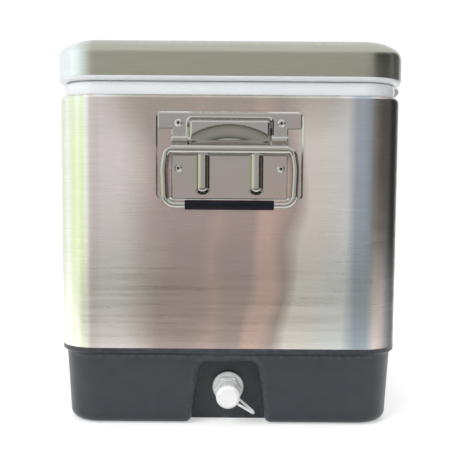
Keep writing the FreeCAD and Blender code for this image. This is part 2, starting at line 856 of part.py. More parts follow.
def foam_body():
    owner = body("foam_block")
    inset = "(belt_sheet + foam_fit)"
    block = sketch(owner, "foam_outline", "XY_Plane", "base_height")
    centred_rect(block, "%s - %s" % (HALF_WIDTH, inset), "%s - %s" % (HALF_LENGTH, inset), "body_corner - " + inset)
    pad(owner, "foam_pad", block, "belt_height - collar_skirt - foam_fit")
    neck = sketch(owner, "foam_neck_outline", "XY_Plane", "base_height")
    inset = "(collar_inset + liner_wall + foam_fit)"
    centred_rect(neck, "%s - %s" % (HALF_WIDTH, inset), "%s - %s" % (HALF_LENGTH, inset), "body_corner - " + inset)
    pad(owner, "foam_neck", neck, "belt_height + collar_height - liner_wall - foam_fit")
    for end, sign, reverse in (("drain", "", False), ("tap", "-", True)):
        face = sketch(owner, end + "_foam_panel", "XZ_Plane", "%sbody_length / 2" % sign)
        panel_outline(face, "(belt_sheet + foam_fit)")
        pocket(owner, end + "_foam_sink", face, "panel_depth + belt_sheet + foam_fit", reverse=reverse)
    whole = doc.addObject("Part::Fuse", "foam_whole")
    whole.Base = owner
    whole.Tool = base_room("foam_foot", "foam_fit")
    tub = body("foam_hollow")
    tub_outside(tub, "foam_fit")
    room = cut("foam_wall", whole, tub)
    depth = "belt_sheet + rivet_tail_length + plate_sheet + 6"
    tools = wall_drills("foam_bore") + [drain_drill("foam_drain", "drain_hole")]
    tools += rivet_drills("foam_rivet", HANDLE_RIVETS + BODY_RIVETS, "rivet_tail_room", depth)
    return cut("foam_body", room, group("foam_bores", tools))


# Lid


def dome_profile(owner, name, gap, solid):
    """Half section of the lid's side and rolled edge, inside the skin by a gap."""
    drawing = sketch(owner, name, "XZ_Plane")
    top = LID_TOP
    half = "(body_width / 2 + lid_overhang)"
    tight = "lid_round_tight"
    long = "(((lid_round_reach - %s)^2 + lid_round_drop^2 - %s^2) / (2 * (lid_round_drop - %s)))" % (
        tight, tight, tight)
    side_x, side_z = "(%s - %s)" % (half, tight), "(%s - lid_round_drop)" % top
    crown_x, crown_z = "(%s - lid_round_reach)" % half, "(%s - %s)" % (top, long)
    lean = "atan((%s - %s) / (%s - %s))" % (side_z, crown_z, side_x, crown_x)
    join_x = "%s + (%s - %%s) * cos(%s)" % (side_x, tight, lean)
    join_z = "%s + (%s - %%s) * sin(%s)" % (side_z, tight, lean)
    points = [
        ("%s - %s" % (half, gap), SKIN_BOTTOM),
        ("%s - %s" % (half, gap), side_z),
        (join_x % gap, join_z % gap, side_x, side_z, 1),
        (crown_x, "%s - %s" % (top, gap), crown_x, crown_z, 1),
    ]
    if solid:
        points.append((crown_x, SKIN_BOTTOM))
    else:
        inner = "(%s + lid_sheet)" % gap
        points.append((crown_x, "%s - %s" % (top, inner)))
        points.append((join_x % inner, join_z % inner, crown_x, crown_z, -1))
        points.append(("%s - %s" % (half, inner), side_z, side_x, side_z, -1))
        points.append(("%s - %s" % (half, inner), SKIN_BOTTOM))
    outline(drawing, points)
    return drawing


def domed(owner, name, gap, solid):
    """The lid's rounded band swept round the lid, with its flat top inside."""
    path = sketch(owner, name + "_path", "XY_Plane", SKIN_BOTTOM)
    centred_rect(path, HALF_WIDTH + " + lid_overhang", HALF_LENGTH + " + lid_overhang", "lid_corner")
    section = dome_profile(owner, name + "_section", gap, solid)
    doc.recompute()
    band = owner.newObject("PartDesign::AdditivePipe", name + "_band")
    band.Profile = (section, [""])
    band.Spine = (path, [])
    doc.recompute()
    top = sketch(owner, name + "_top", "XY_Plane", LID_TOP + " - %s" % gap)
    reach = "lid_overhang - lid_round_reach"
    centred_rect(top, "%s + %s" % (HALF_WIDTH, reach), "%s + %s" % (HALF_LENGTH, reach),
                 "lid_corner - lid_round_reach")
    pad(owner, name + "_flat", top, "lid_height - %s" % gap if solid else "lid_sheet", reverse=True)


def lid_skin():
    owner = body("lid_shell")
    domed(owner, "lid_skin", "0", False)
    depth = "hinge_leaf + lid_sheet + 2"
    return cut("lid_skin", owner, group("lid_skin_holes", rivet_drills("skin_rivet", LID_RIVETS, "rivet_hole", depth)))


def lid_liner():
    owner = body("lid_liner")
    rim = sketch(owner, "lid_rim_outline", "XY_Plane", LID_BOTTOM)
    inset = "(lid_overhang - lid_rim_inset)"
    corner = "lid_corner - lid_rim_inset"
    centred_rect(rim, "%s + %s" % (HALF_WIDTH, inset), "%s + %s" % (HALF_LENGTH, inset), corner)
    pad(owner, "lid_rim_pad", rim, "lid_rim")
    fillet(owner, "lid_rim_edge", level_at(LID_BOTTOM), "lid_rim_round")
    plug = sketch(owner, "plug_outline", "XY_Plane", LID_BOTTOM)
    centred_rect(plug, "plug_width / 2", "plug_length / 2", "plug_corner")
    pad(owner, "plug_pad", plug, "plug_depth", reverse=True)
    fillet(owner, "plug_edge", level_at(LID_BOTTOM + " - plug_depth"), "plug_round")
    pan = sketch(owner, "lid_pan_outline", "XY_Plane", SKIN_BOTTOM)
    inset = "(lid_overhang - lid_rim_inset - lid_rim)"
    centred_rect(pan, "%s + %s" % (HALF_WIDTH, inset), "%s + %s" % (HALF_LENGTH, inset),
                 "lid_corner - lid_rim_inset - lid_rim")
    pocket(owner, "lid_pan", pan, "lid_rim - liner_wall")
    well = sketch(owner, "plug_well_outline", "XY_Plane", SKIN_BOTTOM)
    centred_rect(well, "plug_width / 2 - liner_wall", "plug_length / 2 - liner_wall", "plug_corner - liner_wall")
    pocket(owner, "plug_well", well, "lid_rim + plug_depth - liner_wall")
    return owner


def lid_foam():
    owner = body("lid_filling")
    domed(owner, "lid_foam", "(lid_sheet + foam_fit)", True)
    pan = sketch(owner, "lid_foam_pan", "XY_Plane", SKIN_BOTTOM)
    inset = "(lid_overhang - lid_rim_inset - lid_rim - foam_fit)"
    corner = "lid_corner - lid_rim_inset - lid_rim - foam_fit"
    centred_rect(pan, "%s + %s" % (HALF_WIDTH, inset), "%s + %s" % (HALF_LENGTH, inset), corner)
    pad(owner, "lid_foam_pan_pad", pan, "lid_rim - liner_wall - foam_fit", reverse=True)
    well = sketch(owner, "lid_foam_well", "XY_Plane", SKIN_BOTTOM)
    wall = "liner_wall - foam_fit"
    centred_rect(well, "plug_width / 2 - " + wall, "plug_length / 2 - " + wall, "plug_corner - " + wall)
    pad(owner, "lid_foam_well_pad", well, "lid_rim + plug_depth - liner_wall - foam_fit", reverse=True)
    depth = "hinge_leaf + lid_sheet + rivet_tail_length + 6"
    tools = rivet_drills("lid_foam_rivet", LID_RIVETS, "rivet_tail_room", depth)
    return cut("lid_foam", owner, group("lid_foam_bores", tools))


# Rivets


def rivet(name, grip):
    """A blind rivet: hollow domed head, shank through the sheets and a swollen tail behind them."""
    owner = body(name)
    section = sketch(owner, name + "_section", "XZ_Plane")
    outline(section, [
        ("0", "rivet_dome - rivet_eye_depth"),
        ("rivet_eye / 2", "rivet_dome - rivet_eye_depth"),
        ("rivet_eye / 2", "rivet_dome"),
        ("rivet_head / 2 - 1.6", "rivet_dome"),
        ("rivet_head / 2", "rivet_edge"),
        ("rivet_head / 2", "0"),
        ("rivet_shank / 2", "0"),
        ("rivet_shank / 2", "-(%s)" % grip),
        ("rivet_tail / 2", "-(%s) - 0.5" % grip),
        ("rivet_tail / 2", "-(%s) - rivet_tail_length + 1" % grip),
        ("0", "-(%s) - rivet_tail_length" % grip),
    ])
    turned(owner, name + "_turned", section)
    return owner


# Handle plate: one stamping with a hood, a pivot bead and two stiffening ribs


def handle_plate(name, angle):
    owner = body(name)
    back = "body_length / 2 - panel_depth"
    front = "(body_length / 2 - panel_depth + plate_sheet)"
    hood = sketch(owner, name + "_hood", "XZ_Plane", front)
    rounded_rect(hood, "-hood_width / 2", "hood_width / 2", "hood_bottom", "hood_top", "hood_corner")
    pad(owner, name + "_hood_pad", hood, "hood_rise")
    fillet(owner, name + "_hood_round", across_at("-(%s + hood_rise)" % front), "hood_round")
    dish = owner.newObject("PartDesign::SubtractiveSphere", name + "_dish")
    ball = "((arch_radius^2 + arch_depth^2) / (2 * arch_depth))"
    dish.setExpression("Radius", bound(ball))
    dish.setExpression(".Placement.Base.y", bound("-(%s + hood_rise + %s - arch_depth)" % (front, ball)))
    dish.setExpression(".Placement.Base.z", bound("arch_top - arch_radius"))
    doc.recompute()
    drop = "(sqrt(%s^2 - (arch_radius - arch_top + hood_bottom)^2) - %s + arch_depth)" % (ball, ball)
    blank = sketch(owner, name + "_blank", "XZ_Plane", back)
    outline(blank, [
        ("-plate_width / 2", "plate_bottom"),
        ("plate_width / 2", "plate_bottom"),
        ("plate_width / 2", "ear_bottom"),
        ("ear_width / 2", "ear_bottom"),
        ("ear_width / 2", "plate_top"),
        ("-ear_width / 2", "plate_top"),
        ("-ear_width / 2", "ear_bottom"),
        ("-plate_width / 2", "ear_bottom"),
    ])
    pad(owner, name + "_sheet", blank, "plate_sheet")
    face, rear = value("-" + front), value("-(%s)" % back)
    fillet(owner, name + "_corners", lambda edge: abs(edge.BoundBox.YMin - face) < 0.01
           and abs(edge.BoundBox.YMax - rear) < 0.01 and edge.BoundBox.XLength < 0.01, "plate_corner")
    reach = value("hood_width / 2 + 0.01")
    fillet(owner, name + "_hood_foot", lambda edge: across_at("-" + front)(edge)
           and abs(edge.BoundBox.XMin) < reach and abs(edge.BoundBox.XMax) < reach
           and edge.BoundBox.ZMin > value("hood_bottom - 0.01"), "hood_foot")
    for side in ("-", ""):
        rib = sketch(owner, name + "_rib", "XZ_Plane", front)
        rounded_rect(rib, side + "rib_spacing / 2 - rib_width / 2", side + "rib_spacing / 2 + rib_width / 2",
                     "rib_bottom", "rib_top", "rib_width / 2 - 0.01")
        pad(owner, name + "_rib_pad", rib, "rib_rise")
    fillet(owner, name + "_rib_round", lambda edge: across_at("-(%s + rib_rise)" % front)(edge)
           and edge.BoundBox.ZMax < value("rib_top + 1"), "rib_round")
    strip = sketch(owner, name + "_side_bead", "YZ_Plane")
    outline(strip, [
        ("-" + front, "side_bead_height - side_bead"),
        ("-" + front, "side_bead_height + side_bead"),
        ("-" + front, "side_bead_height - side_bead", "-" + front, "side_bead_height", 1),
    ][1:])
    pad(owner, name + "_side_beads", strip, "plate_width", midplane=True)
    bead = sketch(owner, name + "_bead", "YZ_Plane")
    u_outline(bead, front, "wire_diameter / 2 + wire_play + plate_sheet")
    pad(owner, name + "_bead_pad", bead, "plate_width", midplane=True)
    under = sketch(owner, name + "_hood_hollow", "XZ_Plane", back)
    rounded_rect(under, "-hood_width / 2 + hood_wall", "hood_width / 2 - hood_wall", "hood_bottom + hood_wall",
                 "hood_top - hood_wall", "hood_corner - hood_wall")
    pocket(owner, name + "_hood_room", under, "plate_sheet + hood_rise - hood_wall - " + drop, reverse=True)
    upper = sketch(owner, name + "_hood_crown", "XZ_Plane", back)
    rounded_rect(upper, "-hood_width / 2 + hood_wall", "hood_width / 2 - hood_wall", "arch_top + hood_wall",
                 "hood_top - hood_wall", "hood_corner - hood_wall")
    pocket(owner, name + "_crown_room", upper, "plate_sheet + hood_rise - hood_wall", reverse=True)
    channel = sketch(owner, name + "_channel", "YZ_Plane")
    u_outline(channel, back, "wire_diameter / 2 + wire_play")
    pocket(owner, name + "_channel_cut", channel, "plate_width + 2", midplane=True)
    for side in ("-", ""):
        rib = sketch(owner, name + "_rib_hollow", "XZ_Plane", back)
        rounded_rect(rib, side + "rib_spacing / 2 - rib_width / 2 + 2", side + "rib_spacing / 2 + rib_width / 2 - 2",
                     "rib_bottom + 2", "pivot_height - 4", "rib_width / 2 - 2.01")
        pocket(owner, name + "_rib_room", rib, "plate_sheet + rib_rise - hood_wall - 1", reverse=True)
    holes = sketch(owner, name + "_holes", "XZ_Plane", back)
    spots = []
    for height in ("plate_rivet_high", "plate_rivet_low"):
        spots += [("-plate_rivet_spacing / 2", height), ("plate_rivet_spacing / 2", height)]
    circles(holes, spots, "rivet_hole")
    pocket(owner, name + "_rivet_holes", holes, "2 * plate_sheet", reverse=True)
    return place(owner, "0", "0", "0", UP, angle)


PIVOT = "(body_length / 2 + pivot_out)"


def u_outline(drawing, foot, radius):
    """Section of the pivot bead: a half round at the wire, running back to the plate."""
    outline(drawing, [
        ("-(%s)" % foot, "pivot_height - (%s)" % radius),
        ("-(%s)" % foot, "pivot_height + (%s)" % radius),
        ("-" + PIVOT, "pivot_height + (%s)" % radius),
        ("-" + PIVOT, "pivot_height - (%s)" % radius, "-" + PIVOT, "pivot_height", 1),
    ])


def bail(name, angle):
    out = -value(PIVOT)
    top, bulge, bar = value("pivot_height"), value("bail_bulge_height"), value("bail_bar_height")
    right = [
        (value("bail_stub_end"), out, top),
        (value("bail_top_half"), out, top),
        (value("bail_bulge_half"), out, bulge),
        (value("bail_bottom_half"), out, bar),
    ]
    left = [(-x, y, z) for x, y, z in reversed(right)]
    bends = [value("bail_top_bend"), value("bail_bulge_bend"), value("bail_bottom_bend")]
    wire = bent_rod(name, right + left, bends + bends[::-1], value("wire_diameter"))
    return place(wire, "0", "0", "0", UP, angle)


def bail_grip(name, angle):
    owner = body(name)
    ring = sketch(owner, name + "_ring", "YZ_Plane")
    centre = [("-" + PIVOT, "bail_bar_height")]
    circles(ring, centre, "grip_diameter")
    pad(owner, name + "_sleeve", ring, "grip_length", midplane=True)
    fillet(owner, name + "_ends", lambda edge: edge.BoundBox.XLength < 0.1, "0.8")
    bore = sketch(owner, name + "_bore", "YZ_Plane")
    circles(bore, centre, "wire_diameter + 2 * grip_fit")
    pocket(owner, name + "_hole", bore, "grip_length + 2", midplane=True)
    return place(owner, "0", "0", "0", UP, angle)


# Drain


def drain_body():
    owner = body("drain_body")
    section = sketch(owner, "drain_section", "XZ_Plane")
    neck = "drain_flange_thickness + drain_hex_length"
    shoulder = neck + " + drain_shoulder_length"
    outline(section, [
        ("0", "-drain_tail"),
        ("drain_thread / 2", "-drain_tail"),
        ("drain_thread / 2", "0"),
        ("drain_flange / 2", "0"),
        ("drain_flange / 2", "drain_flange_thickness - 1"),
        ("drain_flange / 2 - 1", "drain_flange_thickness"),
        ("drain_thread / 2", "drain_flange_thickness"),
        ("drain_thread / 2", neck),
        ("drain_shoulder / 2", neck),
        ("drain_shoulder / 2 - 1", shoulder),
        ("spigot_diameter / 2", shoulder),
        ("spigot_diameter / 2", "spigot_end - 1"),
        ("spigot_diameter / 2 - 1", "spigot_end"),
        ("0", "spigot_end"),
    ])
    turned(owner, "drain_turned", section)
    hexed = sketch(owner, "drain_hex_outline", "XY_Plane", "drain_flange_thickness")
    hexagon(hexed, "drain_hex")
    pad(owner, "drain_hex_pad", hexed, "drain_hex_length")
    bore = sketch(owner, "drain_bore_outline", "XY_Plane", "spigot_end")
    circles(bore, [("0", "0")], "drain_bore")
    pocket(owner, "drain_bore_cut", bore, "spigot_end + drain_tail")
    return on_drain(owner)


def ring(name, inner, outer, start, end):
    """A plain ring about its own upright axis."""
    owner = body(name)
    section = sketch(owner, name + "_section", "XZ_Plane")
    outline(section, [
        ("(%s) / 2" % inner, start),
        ("(%s) / 2" % outer, start),
        ("(%s) / 2" % outer, end),
        ("(%s) / 2" % inner, end),
    ])
    turned(owner, name + "_turned", section)
    return owner


def hex_nut(name, across_flats, bore, start, end):
    owner = body(name)
    shape = sketch(owner, name + "_hex", "XY_Plane", start)
    hexagon(shape, across_flats)
    circles(shape, [("0", "0")], bore)
    pad(owner, name + "_pad", shape, "(%s) - (%s)" % (end, start))
    return owner


INNER_SEAT = "(drain_seat_gap + (body_length / 2 - recess_depth - sump_seat) / cos(drain_tilt))"


def drain_washers(base, liner):
    """Soft washers squeezed to a wedge between the tilted drain and the upright walls."""
    outer = ring("drain_outer_washer", "drain_thread + 0.4", "drain_washer",
                 "-(drain_seat_gap + base_wall / 2)", "0")
    inner = ring("drain_inner_washer", "drain_thread + 0.4", "drain_washer",
                 "-(%s + drain_seal_thickness)" % INNER_SEAT, "-(%s - liner_wall / 2)" % INNER_SEAT)
    on_drain(outer)
    on_drain(inner)
    first = cut("drain_washer_outside", outer, base)
    second = cut("drain_washer_inside", inner, liner)
    return group("drain_washers", [first, second])


def drain_nut():
    start = "-(%s + drain_seal_thickness + drain_nut_length)" % INNER_SEAT
    nut = hex_nut("drain_nut", "drain_nut", "drain_thread + 2 * thread_fit", start,
                  "-(%s + drain_seal_thickness)" % INNER_SEAT)
    return on_drain(nut)


def drain_cap():
    owner = body("drain_cap")
    section = sketch(owner, "cap_section", "XZ_Plane")
    bore = "(spigot_diameter / 2 + cap_thread_fit)"
    outline(section, [
        (bore, "cap_start"),
        ("cap_diameter / 2", "cap_start"),
        ("cap_diameter / 2", "tether_ring_start - tether_fit"),
        ("cap_groove / 2", "tether_ring_start - tether_fit"),
        ("cap_groove / 2", "tether_ring_end + tether_fit"),
        ("cap_diameter / 2", "tether_ring_end + tether_fit"),
        ("cap_diameter / 2", "cap_end - cap_rim_round"),
        ("cap_diameter / 2 - cap_rim_round", "cap_end"),
        ("0", "cap_end"),
        ("0", "spigot_end + cap_seal_thickness + 0.1"),
        (bore, "spigot_end + cap_seal_thickness + 0.1"),
    ])
    turned(owner, "cap_turned", section)
    flute = sketch(owner, "cap_flute_outline", "XY_Plane", "cap_start")
    outline(flute, [
        ("cap_diameter / 2 - cap_rib_depth", "-cap_rib_width / 2"),
        ("cap_diameter / 2 + 1", "-cap_rib_width / 2"),
        ("cap_diameter / 2 + 1", "cap_rib_width / 2"),
        ("cap_diameter / 2 - cap_rib_depth", "cap_rib_width / 2"),
    ])
    groove = pocket(owner, "cap_flute", flute, "cap_rib_end - cap_start", reverse=True)
    flutes = owner.newObject("PartDesign::PolarPattern", "cap_flutes")
    flutes.Originals = [groove]
    flutes.Axis = (flute, ["N_Axis"])
    flutes.Angle = 360
    flutes.setExpression("Occurrences", bound("cap_ribs"))
    owner.Tip = flutes
    doc.recompute()
    return on_drain(owner)


def tether_strap():
    """Neck ring and hairpin strap, in the drain's own frame, then turned onto the drain."""
    neck = ring("tether_neck_ring", "spigot_diameter + 2 * tether_fit", "tether_ring", "tether_start", "tether_end")
    turn = math.radians(value("tether_turn"))
    wide, low = math.cos(turn), math.sin(turn)
    first = value("(tether_start + tether_end) / 2")
    second = value("(tether_ring_start + tether_ring_end) / 2")
    inner, reach = value("tether_ring / 2 - 0.6"), value("tether_reach")
    middle = (first + second) / 2
    half = value("tether_bend + 0.4")
    stops = [(inner, first), (reach, middle - half), (reach, middle + half),
             (value("tether_ring / 2 + tether_fit + tether_strand / 4"), second)]
    route = [(r * wide, -r * low, z) for r, z in stops]
    bends = [value("tether_bend")] * 2
    strap = bent_rod("tether_loop", route, bends, value("tether_strand"))
    whole = doc.addObject("Part::Fuse", "drain_tether")
    whole.Base = neck
    whole.Tool = strap
    whole.Label = "drain_tether"
    return on_drain(whole)


# Cold plate and the beer lines


def cold_plate():
    owner = body("cold_plate")
    bottom = "floor_height + chill_foot"
    slab = sketch(owner, "chill_outline", "XY_Plane", bottom)
    rounded_rect(slab, "-chill_width / 2", "chill_width / 2", "chill_centre - chill_length / 2",
                 "chill_centre + chill_length / 2", "chill_corner")
    pad(owner, "chill_slab", slab, "chill_thickness")
    fillet(owner, "chill_edges", level_at(bottom + " + chill_thickness"), "chill_round")
    feet = sketch(owner, "chill_feet_outline", "XY_Plane", "floor_height")
    spots = []
    for side in ("-", ""):
        across = side + "(chill_width / 2 - chill_foot_inset)"
        for end in ("-", "+"):
            spots.append((across, "chill_centre %s (chill_length / 2 - chill_foot_inset)" % end))
    circles(feet, spots, "chill_foot_diameter")
    pad(owner, "chill_feet", feet, "chill_foot")
    channel = sketch(owner, "chill_groove_outline", "XY_Plane", bottom + " + chill_thickness")
    start = "chill_centre - groove_pitch * (groove_count - 1) / 2"
    outline(channel, [
        ("-chill_width / 2 + groove_margin", start + " - groove_width / 2"),
        ("chill_width / 2 - groove_margin", start + " - groove_width / 2"),
        ("chill_width / 2 - groove_margin", start + " + groove_width / 2"),
        ("-chill_width / 2 + groove_margin", start + " + groove_width / 2"),
    ])
    groove = pocket(owner, "chill_groove", channel, "groove_depth")
    rows = owner.newObject("PartDesign::LinearPattern", "chill_grooves")
    rows.Originals = [groove]
    rows.Direction = (channel, ["V_Axis"])
    rows.setExpression("Length", bound("groove_pitch * (groove_count - 1)"))
    rows.setExpression("Occurrences", bound("groove_count"))
    owner.Tip = rows
    doc.recompute()
    return owner


CHILL_EDGE = "(chill_centre + chill_length / 2)"
CHILL_LEVEL = "(floor_height + chill_foot + chill_thickness / 2)"
STUB_END = "(%s + fitting_length + flare_length)" % CHILL_EDGE
INLET_END = "(inlet_thread_end - inlet_flare_length)"
SHANK_END = "(shank_thread_end - flare_length)"


def plate_fittings():
    owner = body("plate_fitting")
    stub = sketch(owner, "fitting_section", "XZ_Plane")
    outline(stub, [
        ("0", "0"),
        ("flare_diameter / 2", "0"),
        ("flare_diameter / 2", "fitting_length + flare_length - 1"),
        ("flare_diameter / 2 - 1", "fitting_length + flare_length"),
        ("0", "fitting_length + flare_length"),
    ])
    turned(owner, "fitting_turned", stub)
    flats = sketch(owner, "fitting_hex_outline", "XY_Plane")
    hexagon(flats, "fitting_hex")
    pad(owner, "fitting_hex_pad", flats, "fitting_length")
    bore = sketch(owner, "fitting_bore_outline", "XY_Plane")
    circles(bore, [("0", "0")], "line_diameter - 2 * line_wall")
    pocket(owner, "fitting_bore", bore, "fitting_length + flare_length + 1", reverse=True)
    copies = []
    for half in ("-chill_inlet_half", "-chill_outlet_half", "chill_outlet_half", "chill_inlet_half"):
        copies.append(copied(owner, half, CHILL_EDGE, CHILL_LEVEL, ACROSS, "-90"))
    return group("plate_fittings", copies)


def flare_nuts():
    """Eight nuts, each with its wide end over a stub and its narrow end round a line."""
    owner = hex_nut("flare_nut", "flare_nut_hex", "line_diameter + 2 * flare_fit", "-flare_nut_grip",
                    "flare_nut_length - flare_nut_grip")
    wide = sketch(owner, "flare_nut_thread", "XY_Plane", "-flare_nut_grip")
    circles(wide, [("0", "0")], "flare_diameter + 2 * flare_fit")
    pocket(owner, "flare_nut_thread_cut", wide, "flare_nut_grip + 0.3", reverse=True)
    copies = []
    for side in ("-", ""):
        for half in ("chill_inlet_half", "chill_outlet_half"):
            copies.append(copied(owner, side + half, STUB_END, CHILL_LEVEL, ACROSS, "-90"))
        copies.append(copied(owner, side + "inlet_half", INLET_END, "inlet_height", ACROSS, "90"))
        copies.append(copied(owner, side + "tap_half", SHANK_END, "tap_height", ACROSS, "90"))
    return group("flare_nuts", copies)


def beer_line(name, side, start_half, end_half, end, height):
    riser = value("(%s + %s) / 2" % (STUB_END, INLET_END))
    low, high = value(CHILL_LEVEL), value(height)
    gap = value("flare_fit")
    start_x, end_x = side * value(start_half), side * value(end_half)
    route = [
        (start_x, value(STUB_END) + gap, low),
        (start_x, riser, low),
        (end_x, riser, high),
        (end_x, value(end) - gap, high),
    ]
    bends = [value("line_bend")] * 2
    return bent_rod(name, route, bends, value("line_diameter"), value("line_diameter - 2 * line_wall"))


def on_tap_wall(thing, half, height, out="0"):
    return place(thing, half, "body_length / 2 + %s" % out, height, ACROSS, "-90")


def inlet(name, half):
    """Bulkhead for one beer line: flare stub, hex flange, threaded body and a second stub inside."""
    owner = body(name)
    section = sketch(owner, name + "_section", "XZ_Plane")
    seat = "inlet_washer_thickness"
    outline(section, [
        ("0", "%s - body_length / 2" % INLET_END),
        ("flare_diameter / 2", "%s - body_length / 2" % INLET_END),
        ("flare_diameter / 2", "inlet_thread_end - body_length / 2"),
        ("inlet_thread / 2", "inlet_thread_end - body_length / 2"),
        ("inlet_thread / 2", seat),
        ("flare_diameter / 2", seat),
        ("flare_diameter / 2", seat + " + inlet_hex_length + inlet_stub_length - 1"),
        ("flare_diameter / 2 - 1", seat + " + inlet_hex_length + inlet_stub_length"),
        ("0", seat + " + inlet_hex_length + inlet_stub_length"),
    ])
    turned(owner, name + "_turned", section)
    flats = sketch(owner, name + "_hex", "XY_Plane", seat)
    hexagon(flats, "inlet_hex")
    pad(owner, name + "_hex_pad", flats, "inlet_hex_length")
    bore = sketch(owner, name + "_bore", "XY_Plane", seat + " + inlet_hex_length + inlet_stub_length")
    circles(bore, [("0", "0")], "line_diameter - 2 * line_wall")
    pocket(owner, name + "_bore_cut", bore, "body_length / 2 - %s + 30" % INLET_END)
    return on_tap_wall(owner, half, "inlet_height")


def liner_face(height):
    """Distance of the liner's inner face from the middle of the cooler, at a height on the tap wall."""
    return "(mouth_length / 2 - (%s - %s) * tan(liner_draft))" % (COLLAR_TOP, height)


def wedge_washers(name, liner, diameter, thread, half, height):
    """A pair of soft washers inside the liner, one face square to the thread and one on the drafted wall."""
    cuts = []
    for side in ("-", ""):
        washer = ring(name + "_blank", thread + " + 0.4", diameter,
                      liner_face(height) + " - seal_thickness - body_length / 2",
                      liner_face(height) + " + liner_wall / 2 - body_length / 2")
        on_tap_wall(washer, side + half, height)
        cuts.append(cut(name + "_inside", washer, liner))
    return cuts


def wall_nuts(name, across_flats, thread, length, half, height):
    start = liner_face(height) + " - seal_thickness - body_length / 2"
    nuts = []
    for side in ("-", ""):
        nut = hex_nut(name + "_nut", across_flats, thread + " + 2 * thread_fit", start + " - " + length, start)
        nuts.append(on_tap_wall(nut, side + half, height))
    return group(name, nuts)


def shank(name, half):
    owner = body(name)
    section = sketch(owner, name + "_section", "XZ_Plane")
    outline(section, [
        ("0", "%s - body_length / 2" % SHANK_END),
        ("flare_diameter / 2", "%s - body_length / 2" % SHANK_END),
        ("flare_diameter / 2", "shank_thread_end - body_length / 2"),
        ("shank_diameter / 2", "shank_thread_end - body_length / 2"),
        ("shank_diameter / 2", "shank_flange_thickness"),
        ("shank_shoulder / 2", "shank_flange_thickness"),
        ("shank_shoulder / 2", "shank_flange_thickness + shank_shoulder_length"),
        ("shank_diameter / 2", "shank_flange_thickness + shank_shoulder_length"),
        ("shank_diameter / 2", "shank_front"),
        ("0", "shank_front"),
    ])
    turned(owner, name + "_turned", section)
    bore = sketch(owner, name + "_bore", "XY_Plane", "shank_front")
    circles(bore, [("0", "0")], "shank_bore")
    pocket(owner, name + "_bore_cut", bore, "body_length / 2 + shank_front - %s + 5" % SHANK_END)
    return on_tap_wall(owner, half, "tap_height")


def shank_flanges():
    flanges = []
    for side in ("-", ""):
        owner = body("shank_flange")
        section = sketch(owner, "shank_flange_section", "XZ_Plane")
        outline(section, [
            ("shank_diameter / 2 + thread_fit", "0"),
            ("shank_flange / 2", "0"),
            ("shank_flange / 2", "shank_flange_thickness - shank_flange_dome"),
            ("shank_shoulder / 2 + 1", "shank_flange_thickness"),
            ("shank_diameter / 2 + thread_fit", "shank_flange_thickness"),
        ])
        turned(owner, "shank_flange_turned", section)
        flanges.append(on_tap_wall(owner, side + "tap_half", "tap_height"))
    return group("shank_flanges", flanges)


def coupling_nuts():
    nuts = []
    collar = "shank_front + faucet_gap + faucet_collar_length"
    for side in ("-", ""):
        owner = body("coupling_nut")
        section = sketch(owner, "coupling_section", "XZ_Plane")
        outline(section, [
            ("shank_diameter / 2 + thread_fit", "coupling_start"),
            ("coupling_diameter / 2 - coupling_round", "coupling_start"),
            ("coupling_diameter / 2", "coupling_start + coupling_round"),
            ("coupling_diameter / 2", collar + " + coupling_lip - coupling_round"),
            ("coupling_diameter / 2 - coupling_round", collar + " + coupling_lip"),
            ("faucet_barrel / 2 + thread_fit", collar + " + coupling_lip"),
            ("faucet_barrel / 2 + thread_fit", collar),
            ("faucet_collar / 2 + thread_fit", collar),
            ("faucet_collar / 2 + thread_fit", "shank_front"),
            ("shank_diameter / 2 + thread_fit", "shank_front"),
        ])
        turned(owner, "coupling_turned", section)
        nuts.append(on_tap_wall(owner, side + "tap_half", "tap_height"))
    return group("coupling_nuts", nuts)


# Faucets: the lever's ball rocks in the body and its tip moves the plunger


def on_faucet(thing, half):
    """Faucet pieces are drawn with their rear face at the origin and +Y pointing out."""
    return place(thing, half, "body_length / 2 + shank_front + faucet_gap", "tap_height")


